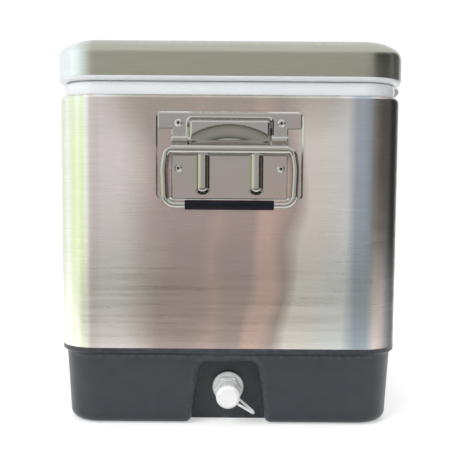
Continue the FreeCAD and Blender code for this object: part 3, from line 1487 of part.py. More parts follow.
def faucet_body(name, half):
    owner = body(name)
    barrel = sketch(owner, name + "_barrel", "XY_Plane")
    outline(barrel, [
        ("0", "0"),
        ("faucet_collar / 2", "0"),
        ("faucet_collar / 2", "faucet_collar_length"),
        ("faucet_barrel / 2", "faucet_collar_length"),
        ("faucet_barrel / 2", "faucet_length - faucet_nose"),
        ("faucet_barrel / 2 - faucet_nose", "faucet_length", "faucet_barrel / 2 - faucet_nose",
         "faucet_length - faucet_nose", 1),
        ("0", "faucet_length"),
    ])
    turned(owner, name + "_barrel_turned", barrel)
    upright = sketch(owner, name + "_upright", "XZ_Plane", "-lever_place")
    outline(upright, [
        ("0", "-spout_drop"),
        ("spout_tip / 2", "-spout_drop"),
        ("spout_tip / 2", "-spout_drop + spout_tip_length"),
        ("spout_waist / 2", "-spout_drop + spout_tip_length"),
        ("spout_top / 2", "-faucet_barrel / 2"),
        ("spout_top / 2", "0"),
        ("boss_diameter / 2", "0"),
        ("boss_diameter / 2", "boss_height"),
        ("0", "boss_height"),
    ])
    turned(owner, name + "_upright_turned", upright)
    ways = sketch(owner, name + "_ways", "XY_Plane")
    guide = "(plunger_diameter / 2 + plunger_fit)"
    outline(ways, [
        ("0", "-1"),
        ("chamber_bore / 2", "-1"),
        ("chamber_bore / 2", "seat_place"),
        ("passage_bore / 2", "seat_place"),
        ("passage_bore / 2", "guide_place"),
        (guide, "guide_place"),
        (guide, "faucet_length + 1"),
        ("0", "faucet_length + 1"),
    ])
    turned(owner, name + "_ways_cut", ways, cut=True)
    socket = sketch(owner, name + "_socket", "XZ_Plane", "-lever_place")
    seat = "(ball_height - ledge_drop)"
    ball = "(ball_diameter / 2 + ball_play)"
    outline(socket, [
        ("0", "-spout_drop - 1"),
        ("spout_bore / 2", "-spout_drop - 1"),
        ("spout_bore / 2", "0"),
        ("passage_bore / 2", "0"),
        ("passage_bore / 2", "%s - ledge_flare" % seat),
        ("ledge_bore / 2", seat),
        (ball, seat),
        (ball, "boss_height + 1"),
        ("0", "boss_height + 1"),
    ])
    turned(owner, name + "_socket_cut", socket, cut=True)
    return on_faucet(owner, half)


def faucet_bonnet(name, half):
    owner = body(name)
    section = sketch(owner, name + "_section", "XZ_Plane", "-lever_place")
    outline(section, [
        ("ledge_bore / 2", "boss_height"),
        ("bonnet_mouth / 2", "boss_height + bonnet_lip"),
        ("bonnet_diameter / 2 - 2 * bonnet_bevel", "boss_height + bonnet_lip"),
        ("bonnet_diameter / 2", "boss_height + bonnet_lip - bonnet_bevel"),
        ("bonnet_diameter / 2", "boss_height - bonnet_skirt"),
        ("boss_diameter / 2 + thread_fit", "boss_height - bonnet_skirt"),
        ("boss_diameter / 2 + thread_fit", "boss_height"),
    ])
    turned(owner, name + "_turned", section)
    return on_faucet(owner, half)


def faucet_lever(name, half):
    owner = body(name)
    section = sketch(owner, name + "_section", "XZ_Plane", "-lever_place")
    collar_top = "lever_collar_height + lever_collar_length"
    outline(section, [
        ("0", "-lever_tip / 2"),
        ("lever_arm / 2", "sqrt((lever_tip / 2)^2 - (lever_arm / 2)^2)", "0", "0", 1),
        ("lever_arm / 2", "ball_height - sqrt((ball_diameter / 2)^2 - (lever_arm / 2)^2)"),
        ("lever_stem / 2", "ball_height + sqrt((ball_diameter / 2)^2 - (lever_stem / 2)^2)", "0", "ball_height", 1),
        ("lever_stem / 2", "lever_collar_height"),
        ("lever_collar / 2", "lever_collar_height"),
        ("lever_collar / 2", collar_top),
        ("lever_stud / 2", collar_top),
        ("lever_stud / 2", collar_top + " + lever_stud_length"),
        ("0", collar_top + " + lever_stud_length"),
    ])
    turned(owner, name + "_turned", section)
    return on_faucet(owner, half)


def tap_knob(name, half):
    owner = body(name)
    section = sketch(owner, name + "_section", "XZ_Plane", "-lever_place")
    foot = "(lever_collar_height + lever_collar_length + knob_gap)"
    bore = "(lever_stud / 2 + knob_fit)"
    outline(section, [
        (bore, foot),
        ("knob_foot / 2", foot),
        ("knob_foot / 2", foot + " + 3"),
        ("knob_neck / 2", "knob_neck_height"),
        ("knob_head / 2", "knob_head_height"),
        ("knob_head / 2 - knob_round", "knob_top"),
        ("0", "knob_top"),
        ("0", foot + " + lever_stud_length"),
        (bore, foot + " + lever_stud_length"),
    ])
    turned(owner, name + "_turned", section)
    heights = [value("tap_height + knob_neck_height"), value("tap_height + knob_head_height"),
               value("tap_height + knob_top")]
    on_faucet(owner, half)

    def soft(edge):
        level = edge.BoundBox.ZMin + owner.Placement.Base.z * 0
        return any(abs(level - (height - value("tap_height"))) < 0.01 for height in heights) \
            and edge.BoundBox.ZLength < 0.01

    fillet(owner, name + "_soft_edges", soft, "knob_round / 2")
    return owner


def plunger(name, half):
    owner = body(name)
    section = sketch(owner, name + "_section", "XY_Plane")
    seat = "seat_place - seat_washer_thickness"
    outline(section, [
        ("0", "%s - retainer_length - 0.5" % seat),
        ("stud_diameter / 2", "%s - retainer_length - 0.5" % seat),
        ("stud_diameter / 2", "%s - retainer_length" % seat),
        ("retainer_diameter / 2", "%s - retainer_length" % seat),
        ("retainer_diameter / 2", seat),
        ("stud_diameter / 2", seat),
        ("stud_diameter / 2", "seat_place"),
        ("plunger_diameter / 2", "seat_place"),
        ("plunger_diameter / 2", "faucet_length - 0.5"),
        ("0", "faucet_length - 0.5"),
    ])
    turned(owner, name + "_turned", section)
    slot = sketch(owner, name + "_slot", "YZ_Plane")
    length = "(lever_tip / 2 + slot_play)"
    top = "(plunger_diameter / 2 + 1)"
    outline(slot, [
        ("lever_place - " + length, "-" + length),
        ("lever_place + " + length, "-" + length),
        ("lever_place + " + length, "slot_flare"),
        ("lever_place + %s + (%s - slot_flare) * tan(slot_lean)" % (length, top), top),
        ("lever_place - " + length, top),
    ])
    pocket(owner, name + "_slot_cut", slot, "lever_tip + slot_play", midplane=True)
    return on_faucet(owner, half)


def seat_washer(name, half):
    owner = body(name)
    section = sketch(owner, name + "_section", "XY_Plane")
    start, end = "seat_place - seat_washer_thickness + 0.02", "seat_place - 0.05"
    outline(section, [
        ("stud_diameter / 2 + 0.05", start),
        ("seat_washer / 2", start),
        ("seat_washer / 2", end),
        ("stud_diameter / 2 + 0.05", end),
    ])
    turned(owner, name + "_turned", section)
    return on_faucet(owner, half)


# Lid hinges: body leaf with three knuckles, lid leaf with two, one pin each

HINGE_X = "(body_width / 2 + hinge_out)"


def knuckles(owner, name, neck, starts, radius="hinge_knuckle / 2"):
    """Necks and round knuckles at given shares of the hinge's length."""
    for k, start in enumerate(starts):
        from_y = "-hinge_length / 2 + hinge_length * %s / 5 + hinge_knuckle_gap / 2" % start
        for part, points in (("neck", neck), ("round", None)):
            drawing = sketch(owner, "%s_%s_%d" % (name, part, k), "XZ_Plane", "-(%s)" % from_y)
            if points:
                outline(drawing, points)
            else:
                circles(drawing, [(HINGE_X, "hinge_height")], "2 * " + radius)
            pad(owner, "%s_%s_pad_%d" % (name, part, k), drawing, "hinge_length / 5 - hinge_knuckle_gap",
                reverse=True)
    bore = sketch(owner, name + "_bore", "XZ_Plane")
    circles(bore, [(HINGE_X, "hinge_height")], "hinge_pin + 2 * hinge_pin_fit")
    pocket(owner, name + "_bore_cut", bore, "hinge_length + 2", midplane=True)


def leaf_holes(owner, name, offset, height):
    holes = sketch(owner, name + "_holes", "YZ_Plane", offset)
    circles(holes, [("-hinge_rivet_spacing / 2", height), ("hinge_rivet_spacing / 2", height)], "rivet_hole")
    pocket(owner, name + "_hole_cut", holes, "hinge_leaf + 2")


def hinge_leaf_body():
    owner = body("hinge_body_leaf")
    face = "(body_width / 2)"
    plate = sketch(owner, "hinge_body_plate", "XZ_Plane")
    top = "(hinge_height - hinge_neck)"
    outline(plate, [
        (face, "hinge_leaf_bottom"),
        (face + " + hinge_leaf", "hinge_leaf_bottom"),
        (face + " + hinge_leaf", top),
        (face, top),
    ])
    pad(owner, "hinge_body_plate_pad", plate, "hinge_length", midplane=True)
    reach = "(hinge_knuckle / 2 * cos(35))"
    rise = "(hinge_knuckle / 2 * sin(35))"
    neck = [
        (face, top + " - 4"),
        (face + " + hinge_leaf", top + " - 4"),
        ("%s + %s" % (HINGE_X, rise), "hinge_height - %s" % reach),
        ("%s - %s" % (HINGE_X, rise), "hinge_height + %s * 0.6" % rise),
        (face, top + " + 2"),
    ]
    knuckles(owner, "hinge_body", neck, (0, 2, 4))
    leaf_holes(owner, "hinge_body", face + " + hinge_leaf", "hinge_rivet_low")
    return pair("hinge_leaf_body", owner)


def hinge_leaf_lid():
    owner = body("hinge_lid_leaf")
    face = "(body_width / 2 + lid_overhang)"
    bottom = "(%s + 3)" % SKIN_BOTTOM
    plate = sketch(owner, "hinge_lid_plate", "XZ_Plane")
    outline(plate, [
        (face, bottom),
        (face + " + hinge_leaf", bottom),
        (face + " + hinge_leaf", "hinge_leaf_top"),
        (face, "hinge_leaf_top"),
    ])
    pad(owner, "hinge_lid_plate_pad", plate, "hinge_length", midplane=True)
    neck = [
        (face, bottom + " + 3"),
        (face, bottom + " - 2"),
        (HINGE_X + " - hinge_knuckle / 2 + 0.4", "hinge_height - 1"),
        (HINGE_X + " + 2", "hinge_height + hinge_knuckle / 2 - 0.6"),
        (face + " + hinge_leaf", bottom + " + 3"),
    ]
    knuckles(owner, "hinge_lid", neck, (1, 3))
    leaf_holes(owner, "hinge_lid", face + " + hinge_leaf", "hinge_rivet_high")
    return pair("hinge_leaf_lid", owner)


def pair(name, piece):
    """Two copies, one near each end of the cooler."""
    copies = [copied(piece, "0", end + "hinge_spacing / 2", "0") for end in ("-", "")]
    return group(name, copies)


def hinge_pins():
    owner = body("hinge_pin")
    section = sketch(owner, "hinge_pin_section", "XZ_Plane")
    half = "hinge_length / 2"
    outline(section, [
        ("0", "-%s - 0.2" % half),
        ("hinge_pin / 2", "-%s - 0.2" % half),
        ("hinge_pin / 2", half + " + 0.2"),
        ("hinge_pin / 2 + 1.5", half + " + 0.2"),
        ("hinge_pin / 2 + 1.5", half + " + 1.6"),
        ("0", half + " + 2.2"),
    ])
    turned(owner, "hinge_pin_turned", section)
    copies = [copied(owner, HINGE_X, end + "hinge_spacing / 2", "hinge_height", ACROSS, "-90")
              for end in ("-", "")]
    return group("hinge_pins", copies)


# Hasp latch on the other long side

LATCH_X = "(body_width / 2 + latch_out)"


def latch_bracket():
    owner = body("latch_bracket")
    face = "-(body_width / 2)"
    plate = sketch(owner, "latch_plate_outline", "YZ_Plane", face)
    rounded_rect(plate, "-latch_plate_half", "latch_plate_half", "latch_plate_bottom", "latch_plate_top",
                 "hasp_corner")
    pad(owner, "latch_plate_pad", plate, "latch_plate", reverse=True)
    inner = "(hasp_width / 2 + hasp_side_play)"
    for k, offset in enumerate(("-%s" % inner, inner + " + latch_ear")):
        ear = sketch(owner, "latch_ear_%d" % k, "XZ_Plane", offset)
        outline(ear, [
            (face, "latch_pivot_height - latch_ear_half"),
            (face, "latch_pivot_height + latch_ear_half"),
            ("-" + LATCH_X, "latch_pivot_height + latch_ear_half"),
            ("-" + LATCH_X, "latch_pivot_height - latch_ear_half", "-" + LATCH_X, "latch_pivot_height", 1),
        ])
        pad(owner, "latch_ear_pad_%d" % k, ear, "latch_ear", reverse=True)
    bore = sketch(owner, "latch_bore", "XZ_Plane")
    circles(bore, [("-" + LATCH_X, "latch_pivot_height")], "hasp_pin + 2 * hinge_pin_fit")
    pocket(owner, "latch_bore_cut", bore, "3 * hasp_width", midplane=True)
    holes = sketch(owner, "latch_holes", "YZ_Plane", face + " - latch_plate")
    circles(holes, [("-latch_rivet_spacing / 2", "latch_rivet_height"),
                    ("latch_rivet_spacing / 2", "latch_rivet_height")], "rivet_hole")
    pocket(owner, "latch_hole_cut", holes, "latch_plate + 2", reverse=True)
    return owner


def latch_pin():
    owner = body("latch_pin")
    section = sketch(owner, "latch_pin_section", "XZ_Plane")
    half = "(hasp_width / 2 + hasp_side_play + latch_ear)"
    outline(section, [
        ("0", "-%s - 1.5" % half),
        ("hasp_pin / 2 + 1", "-%s - 1.5" % half),
        ("hasp_pin / 2 + 1", "-%s - 0.1" % half),
        ("hasp_pin / 2", "-%s - 0.1" % half),
        ("hasp_pin / 2", half + " + 0.1"),
        ("hasp_pin / 2 + 1", half + " + 0.1"),
        ("hasp_pin / 2 + 1", half + " + 1.5"),
        ("0", half + " + 1.5"),
    ])
    turned(owner, "latch_pin_turned", section)
    return place(owner, "-" + LATCH_X, "0", "latch_pivot_height", ACROSS, "90")


def latch_hasp():
    owner = body("latch_hasp")
    centre = "-" + LATCH_X
    strap = sketch(owner, "hasp_strap", "YZ_Plane", centre + " - hasp_sheet / 2")
    rounded_rect(strap, "-hasp_width / 2", "hasp_width / 2", "latch_pivot_height - hasp_length",
                 "latch_pivot_height", "hasp_corner")
    pad(owner, "hasp_strap_pad", strap, "hasp_sheet")
    curl = sketch(owner, "hasp_curl_outline", "XZ_Plane")
    circles(curl, [(centre, "latch_pivot_height")], "hasp_curl")
    pad(owner, "hasp_curl_pad", curl, "hasp_width", midplane=True)
    bore = sketch(owner, "hasp_bore", "XZ_Plane")
    circles(bore, [(centre, "latch_pivot_height")], "hasp_pin + 2 * hinge_pin_fit")
    pocket(owner, "hasp_bore_cut", bore, "hasp_width + 2", midplane=True)
    slot = sketch(owner, "hasp_slot_outline", "YZ_Plane", centre + " + hasp_sheet")
    rounded_rect(slot, "-hasp_slot_width / 2", "hasp_slot_width / 2", "latch_pivot_height - hasp_slot_end",
                 "latch_pivot_height - hasp_slot_start", "hasp_slot_width / 2 - 0.01")
    pocket(owner, "hasp_slot", slot, "2 * hasp_sheet")
    return owner


def latch_keeper():
    owner = body("keeper_plate")
    face = "-(body_width / 2 + lid_overhang)"
    plate = sketch(owner, "keeper_outline", "YZ_Plane", face)
    rounded_rect(plate, "-keeper_half", "keeper_half", "keeper_bottom", "keeper_top", "hasp_corner")
    pad(owner, "keeper_pad", plate, "latch_plate", reverse=True)
    holes = sketch(owner, "keeper_holes", "YZ_Plane", face + " - latch_plate")
    middle = "(keeper_bottom + keeper_top) / 2"
    circles(holes, [("-keeper_rivet_spacing / 2", middle), ("keeper_rivet_spacing / 2", middle)], "rivet_hole")
    pocket(owner, "keeper_hole_cut", holes, "latch_plate + 2", reverse=True)
    root = value(face + " - latch_plate / 2")
    tip = value(face + " - staple_out")
    low, high = value("staple_low"), value("staple_high")
    route = [(root, 0, low), (tip, 0, low), (tip, 0, high), (root, 0, high)]
    loop = bent_rod("keeper_staple", route, [value("staple_bend")] * 2, value("staple_wire"))
    whole = doc.addObject("Part::Fuse", "latch_keeper")
    whole.Base = owner
    whole.Tool = loop
    whole.Label = "latch_keeper"
    doc.recompute()
    return whole


# Everything put together

liner_blank = inner_liner()
liner_tools = group("liner_bores", wall_drills("liner_bore") + [drain_drill("liner_drain", "drain_hole")])
keep(cut("inner_liner", liner_blank, liner_tools))
base_blank = base_tub()
keep(cut("base_tub", base_blank, drain_drill("base_drain", "drain_hole")))
belt_tools = rivet_drills("belt_rivet", HANDLE_RIVETS + BODY_RIVETS, "rivet_hole", "2 * hinge_leaf + 2")
keep(cut("steel_belt", steel_belt(), group("belt_holes", belt_tools + wall_drills("belt_bore"))))
keep(foam_body())
keep(lid_skin())
keep(lid_liner())
keep(lid_foam())

handle_rivet = rivet("handle_rivet", "plate_sheet + belt_sheet + foam_fit")
strap_rivet = rivet("strap_rivet", "hinge_leaf + belt_sheet + foam_fit")
keep(group("handle_rivets", [copied(handle_rivet, *spot) for spot in HANDLE_RIVETS]))
keep(group("body_rivets", [copied(strap_rivet, *spot) for spot in BODY_RIVETS]))
keep(group("lid_rivets", [copied(strap_rivet, *spot) for spot in LID_RIVETS]))

for end, angle in (("drain_end", "0"), ("tap_end", "180")):
    keep(handle_plate("handle_plate_" + end, angle))
    keep(bail("bail_" + end, angle))
    keep(bail_grip("bail_grip_" + end, angle))

keep(drain_body())
keep(drain_nut())
keep(drain_washers(base_blank, liner_blank))
keep(drain_cap())
keep(on_drain(ring("cap_seal", "0.001", "spigot_diameter - 0.6", "spigot_end + 0.05",
                   "spigot_end + cap_seal_thickness")))
keep(on_drain(ring("tether_ring", "cap_groove + 2 * tether_fit", "tether_ring", "tether_ring_start",
                   "tether_ring_end")))
keep(tether_strap())

keep(cold_plate())
keep(plate_fittings())
keep(flare_nuts())
for side, sign in (("left", -1), ("right", 1)):
    keep(beer_line("line_in_" + side, sign, "chill_inlet_half", "inlet_half", INLET_END, "inlet_height"))
    keep(beer_line("line_out_" + side, sign, "chill_outlet_half", "tap_half", SHANK_END, "tap_height"))

outer_inlet_washers = []
for side, sign in (("left", "-"), ("right", "")):
    keep(inlet("inlet_" + side, sign + "inlet_half"))
    keep(shank("shank_" + side, sign + "tap_half"))
    washer = ring("inlet_outer_washer", "inlet_thread + 0.4", "inlet_washer", "0", "inlet_washer_thickness")
    outer_inlet_washers.append(on_tap_wall(washer, sign + "inlet_half", "inlet_height"))
    half = sign + "tap_half"
    keep(faucet_body("faucet_body_" + side, half))
    keep(faucet_bonnet("faucet_bonnet_" + side, half))
    keep(faucet_lever("faucet_lever_" + side, half))
    keep(tap_knob("tap_knob_" + side, half))
    keep(plunger("faucet_plunger_" + side, half))
    keep(seat_washer("seat_washer_" + side, half))

inner_inlet_washers = wedge_washers("inlet_seal", liner_blank, "inlet_washer", "inlet_thread", "inlet_half",
                                    "inlet_height")
keep(group("inlet_washers", outer_inlet_washers + inner_inlet_washers))
keep(group("shank_washers", wedge_washers("shank_seal", liner_blank, "shank_washer", "shank_diameter", "tap_half",
                                          "tap_height")))
keep(wall_nuts("inlet_nuts", "inlet_hex", "inlet_thread", "inlet_nut_length", "inlet_half", "inlet_height"))
keep(wall_nuts("shank_nuts", "shank_nut", "shank_diameter", "shank_nut_length", "tap_half", "tap_height"))
keep(shank_flanges())
keep(coupling_nuts())

keep(hinge_leaf_body())
keep(hinge_leaf_lid())
keep(hinge_pins())
keep(latch_bracket())
keep(latch_pin())
keep(latch_hasp())
keep(latch_keeper())

doc.recompute()
faults = []
for thing in doc.Objects:
    if "Invalid" in thing.State or "Error" in thing.State:
        faults.append("%s: %s" % (thing.Label, thing.State))
for name, piece in pieces.items():
    if piece.Shape.isNull() or not piece.Shape.isValid():
        faults.append("%s has no sound shape" % name)
if faults:
    raise SystemExit("\n".join(faults))

os.makedirs("parts", exist_ok=True)
for name, piece in sorted(pieces.items()):
    piece.Shape.exportStep("parts/%s.step" % name)
    box = piece.Shape.BoundBox
    print("%-24s solids %2d volume %10.0f  x %7.1f %7.1f  y %7.1f %7.1f  z %6.1f %6.1f" % (
        name, len(piece.Shape.Solids), piece.Shape.Volume,
        box.XMin, box.XMax, box.YMin, box.YMax, box.ZMin, box.ZMax))
print(len(pieces), "pieces")
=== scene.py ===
# %% [markdown]
# This lesson dresses a beer cooler box: a steel-clad ice chest whose far end carries two beer taps fed
# through a cold plate under the ice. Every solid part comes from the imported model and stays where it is,
# and giving the real parts good finishes keeps every size true. Only the two handle plates are made again,
# as soft stampings. The rest of what is made here is what the eye needs on top: brushed grain, moulded
# skins, rolled panel edges, rivet pins, light and camera.

# %% Load the solid parts
import math

import bmesh
import bpy
from mathutils import Matrix, Vector


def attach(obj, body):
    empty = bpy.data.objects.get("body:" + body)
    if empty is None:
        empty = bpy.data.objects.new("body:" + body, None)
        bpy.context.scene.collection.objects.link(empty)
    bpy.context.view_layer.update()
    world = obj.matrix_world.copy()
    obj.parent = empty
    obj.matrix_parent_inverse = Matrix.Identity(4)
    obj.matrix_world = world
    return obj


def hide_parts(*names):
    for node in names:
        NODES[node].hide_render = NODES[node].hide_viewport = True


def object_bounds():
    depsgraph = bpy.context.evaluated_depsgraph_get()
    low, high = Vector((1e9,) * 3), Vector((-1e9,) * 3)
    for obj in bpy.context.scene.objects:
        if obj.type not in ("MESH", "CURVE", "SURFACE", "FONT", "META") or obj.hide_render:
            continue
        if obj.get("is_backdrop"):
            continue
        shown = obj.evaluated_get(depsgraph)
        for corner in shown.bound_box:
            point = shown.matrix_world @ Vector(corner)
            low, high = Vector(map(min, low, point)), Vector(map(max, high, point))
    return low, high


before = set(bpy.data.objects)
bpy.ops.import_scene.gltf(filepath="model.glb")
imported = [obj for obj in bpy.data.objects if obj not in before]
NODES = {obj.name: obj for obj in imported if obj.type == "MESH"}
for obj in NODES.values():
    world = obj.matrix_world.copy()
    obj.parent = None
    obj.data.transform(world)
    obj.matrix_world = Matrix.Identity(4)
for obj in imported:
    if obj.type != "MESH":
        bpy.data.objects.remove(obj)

SOLID_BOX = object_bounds()
SCENE = bpy.context.scene
SCENE.view_settings.view_transform = "Standard"
bpy.ops.object.select_all(action="DESELECT")
print("solid parts:", len(NODES), "box:", [[round(v, 4) for v in corner] for corner in SOLID_BOX])

# %% [markdown]
# The photograph was taken from about 0.8 m in front of the drain end, from a little above its middle, with
# the camera tipped a few degrees down. From that height the lid's underside and the foot both show. The
# camera's numbers come from matching known corners; the small shift keeps the box centred.

# %% Set up the camera
CAMERA_PLACE = (0.0006, -1.1453, 0.2698)
CAMERA_TIP = math.radians(90 - 4.155)
CAMERA_ROLL = math.radians(0.409)
CAMERA_LENS, CAMERA_SHIFT = 55.8, 0.0447
lens = bpy.data.cameras.new("camera")
lens.lens = CAMERA_LENS
lens.shift_y = CAMERA_SHIFT
camera = bpy.data.objects.new("camera", lens)
SCENE.collection.objects.link(camera)
tilted = Matrix.Rotation(CAMERA_TIP, 4, "X") @ Matrix.Rotation(CAMERA_ROLL, 4, "Z")
camera.matrix_world = Matrix.Translation(CAMERA_PLACE) @ tilted
SCENE.camera = camera
print("camera", round((Vector(CAMERA_PLACE) - Vector((0, -0.324, 0.24))).length, 3), "m from the drain end")

# %% [markdown]
# A material is a small tree of nodes, and a node group is an effect that several materials share. A few
# helpers keep the trees short: one adds a node with its inputs, two make a node group and put it into a
# material, and the rest are sums and mixes that come back often. A number goes straight into a socket, and
# a socket given as a value is linked.

# %% Helpers for materials
def add(tree, kind, inputs=(), **settings):
    """One shader node with its settings, its inputs set or linked."""
    made = tree.nodes.new("ShaderNode" + kind)
    for setting, chosen in settings.items():
        setattr(made, setting, chosen)
    for socket, source in inputs:
        if isinstance(source, bpy.types.NodeSocket):
            tree.links.new(source, made.inputs[socket])
        else:
            made.inputs[socket].default_value = source
    return made


def maths(tree, operation, *values):
    """The number socket of one operation on numbers or sockets."""
    return add(tree, "Math", list(enumerate(values)), operation=operation).outputs[0]


def effect(name, inputs, outputs):
    """An empty node group with named sockets."""
    tree = bpy.data.node_groups.new(name, "ShaderNodeTree")
    for socket, start in inputs:
        kind = "NodeSocketColor" if isinstance(start, tuple) else "NodeSocketFloat"
        tree.interface.new_socket(socket, in_out="INPUT", socket_type=kind).default_value = start
    for socket in outputs:
        kind = "NodeSocketColor" if socket == "Colour" else "NodeSocketFloat"
        tree.interface.new_socket(socket, in_out="OUTPUT", socket_type=kind)
    return tree, tree.nodes.new("NodeGroupInput").outputs, tree.nodes.new("NodeGroupOutput").inputs


def use(tree, name, **values):
    """A node that puts a shared effect into a material."""
    made = tree.nodes.new("ShaderNodeGroup")
    made.node_tree = bpy.data.node_groups[name]
    for socket, value in values.items():
        socket = socket.replace("_", " ")
        if isinstance(value, bpy.types.NodeSocket):
            tree.links.new(value, made.inputs[socket])
        else:
            made.inputs[socket].default_value = value
    return made.outputs


def blend_colours(tree, share, low, high, mode="MIX"):
    """The colour socket of a mix of two colours."""
    made = add(tree, "Mix", data_type="RGBA", blend_type=mode)
    for socket, source in ((made.inputs[0], share), (made.inputs[6], low), (made.inputs[7], high)):
        if isinstance(source, bpy.types.NodeSocket):
            tree.links.new(source, socket)
        elif socket.type == "RGBA":
            socket.default_value = (*source[:3], 1)
        else:
            socket.default_value = source
    return made.outputs[2]


def between(tree, value, low, high, to_low, to_high):
    """A number socket moved from one range to another."""
    made = add(tree, "MapRange", [("Value", value), ("From Min", low), ("From Max", high),
                                  ("To Min", to_low), ("To Max", to_high)])
    return made.outputs[0]


print("helpers ready")

# %% [markdown]
# Brushed steel is rolled sheet rubbed along one direction with an abrasive belt. Close up it is thousands
# of fine parallel scratches, and the light spreads across them. The effect is noise squeezed thin across
# the scratches and drawn long along them: level lines on the walls, and lines along the box on flat tops.

# %% Effect: brushed grain
tree, given, result = effect(
    "Brushed grain", [("Lines per metre", 900.0), ("Length", 22.0)], ["Streak", "Broad"]
)
place = add(tree, "TexCoord").outputs["Object"]
facing = add(tree, "SeparateXYZ", [(0, add(tree, "NewGeometry").outputs["Normal"])]).outputs[2]
level = maths(tree, "GREATER_THAN", maths(tree, "ABSOLUTE", facing), 0.72)
tracks = []
for across, broadened in ((2, (0.3, 0.3, 0.12)), (0, (0.12, 0.3, 0.3))):
    sizes = add(tree, "CombineXYZ", [(axis, given["Lines per metre" if axis == across else "Length"])
                                     for axis in range(3)])
    scaled = add(tree, "VectorMath", [(0, place), (1, sizes.outputs[0])], operation="MULTIPLY").outputs[0]
    fine = add(tree, "TexNoise", [("Vector", scaled), ("Scale", 1.0), ("Detail", 3.0), ("Roughness", 0.65)])
    slow = add(tree, "VectorMath", [(0, scaled), (1, broadened)], operation="MULTIPLY").outputs[0]
    broad = add(tree, "TexNoise", [("Vector", slow), ("Scale", 1.0), ("Detail", 2.0)])
    tracks.append((fine.outputs[0], broad.outputs[0]))
for number, socket in enumerate(("Streak", "Broad")):
    chosen = add(tree, "Mix", data_type="FLOAT")
    tree.links.new(level, chosen.inputs[0])
    tree.links.new(tracks[0][number], chosen.inputs[2])
    tree.links.new(tracks[1][number], chosen.inputs[3])
    tree.links.new(chosen.outputs[0], result[socket])
print("Brushed grain:", len(tree.nodes), "nodes")

# %% [markdown]
# A used surface is never evenly clean. Hands leave faint greasy patches, which change how glossy the
# metal or plastic is far more than its colour. The effect is slow cloudy noise with a few finer wipes.

# %% Effect: smudges
tree, given, result = effect("Smudges", [("Size", 7.0), ("Sharpness", 0.5)], ["Smudge"])
place = add(tree, "TexCoord").outputs["Object"]
cloud = add(tree, "TexNoise", [("Vector", place), ("Scale", given["Size"]), ("Detail", 5.0),
                               ("Roughness", given["Sharpness"]), ("Distortion", 0.7)]).outputs[0]
tree.links.new(between(tree, cloud, 0.34, 0.68, 0.0, 1.0), result["Smudge"])
print("Smudges:", len(tree.nodes), "nodes")

# %% [markdown]
# Moulded plastic takes its skin from the mould. A satin part has a fine pebble texture, and slow waves
# where the wall shrank as it cooled. Both are heights for a bump, and a cloudy noise mottles the shade.

# %% Effect: moulded skin
tree, given, result = effect(
    "Moulded skin", [("Grains per metre", 900.0), ("Waviness", 0.3)], ["Height", "Mottle"]
)
place = add(tree, "TexCoord").outputs["Object"]
pebble = add(tree, "TexVoronoi", [("Vector", place), ("Scale", given["Grains per metre"]),
                                  ("Randomness", 1.0)], feature="SMOOTH_F1").outputs["Distance"]
wave = add(tree, "TexNoise", [("Vector", place), ("Scale", 16.0), ("Detail", 1.0)]).outputs[0]
waved = maths(tree, "MULTIPLY", wave, given["Waviness"])
tree.links.new(maths(tree, "ADD", pebble, waved), result["Height"])
mottle = add(tree, "TexNoise", [("Vector", place), ("Scale", 60.0), ("Detail", 4.0), ("Roughness", 0.6)])
tree.links.new(mottle.outputs[0], result["Mottle"])
print("Moulded skin:", len(tree.nodes), "nodes")

# %% [markdown]
# Handling rubs the outer edges first. A bevel node rounds the normal near an edge, so where the rounded
# normal and the real one disagree there is an edge, and noise breaks the rubbed line up.

# %% Effect: edge rub
tree, given, result = effect("Edge rub", [("Reach", 0.0012), ("Breakup", 140.0)], ["Rub"])
true_normal = add(tree, "NewGeometry").outputs["Normal"]
rounded = add(tree, "Bevel", [("Radius", given["Reach"])], samples=4).outputs[0]
agree = add(tree, "VectorMath", [(0, rounded), (1, true_normal)], operation="DOT_PRODUCT").outputs["Value"]
edge = between(tree, agree, 0.99, 0.86, 0.0, 1.0)
place = add(tree, "TexCoord").outputs["Object"]
chips = add(tree, "TexNoise", [("Vector", place), ("Scale", given["Breakup"]), ("Detail", 3.0)]).outputs[0]
broken = between(tree, chips, 0.42, 0.6, 0.15, 1.0)
tree.links.new(maths(tree, "MULTIPLY", edge, broken), result["Rub"])
print("Edge rub:", len(tree.nodes), "nodes")
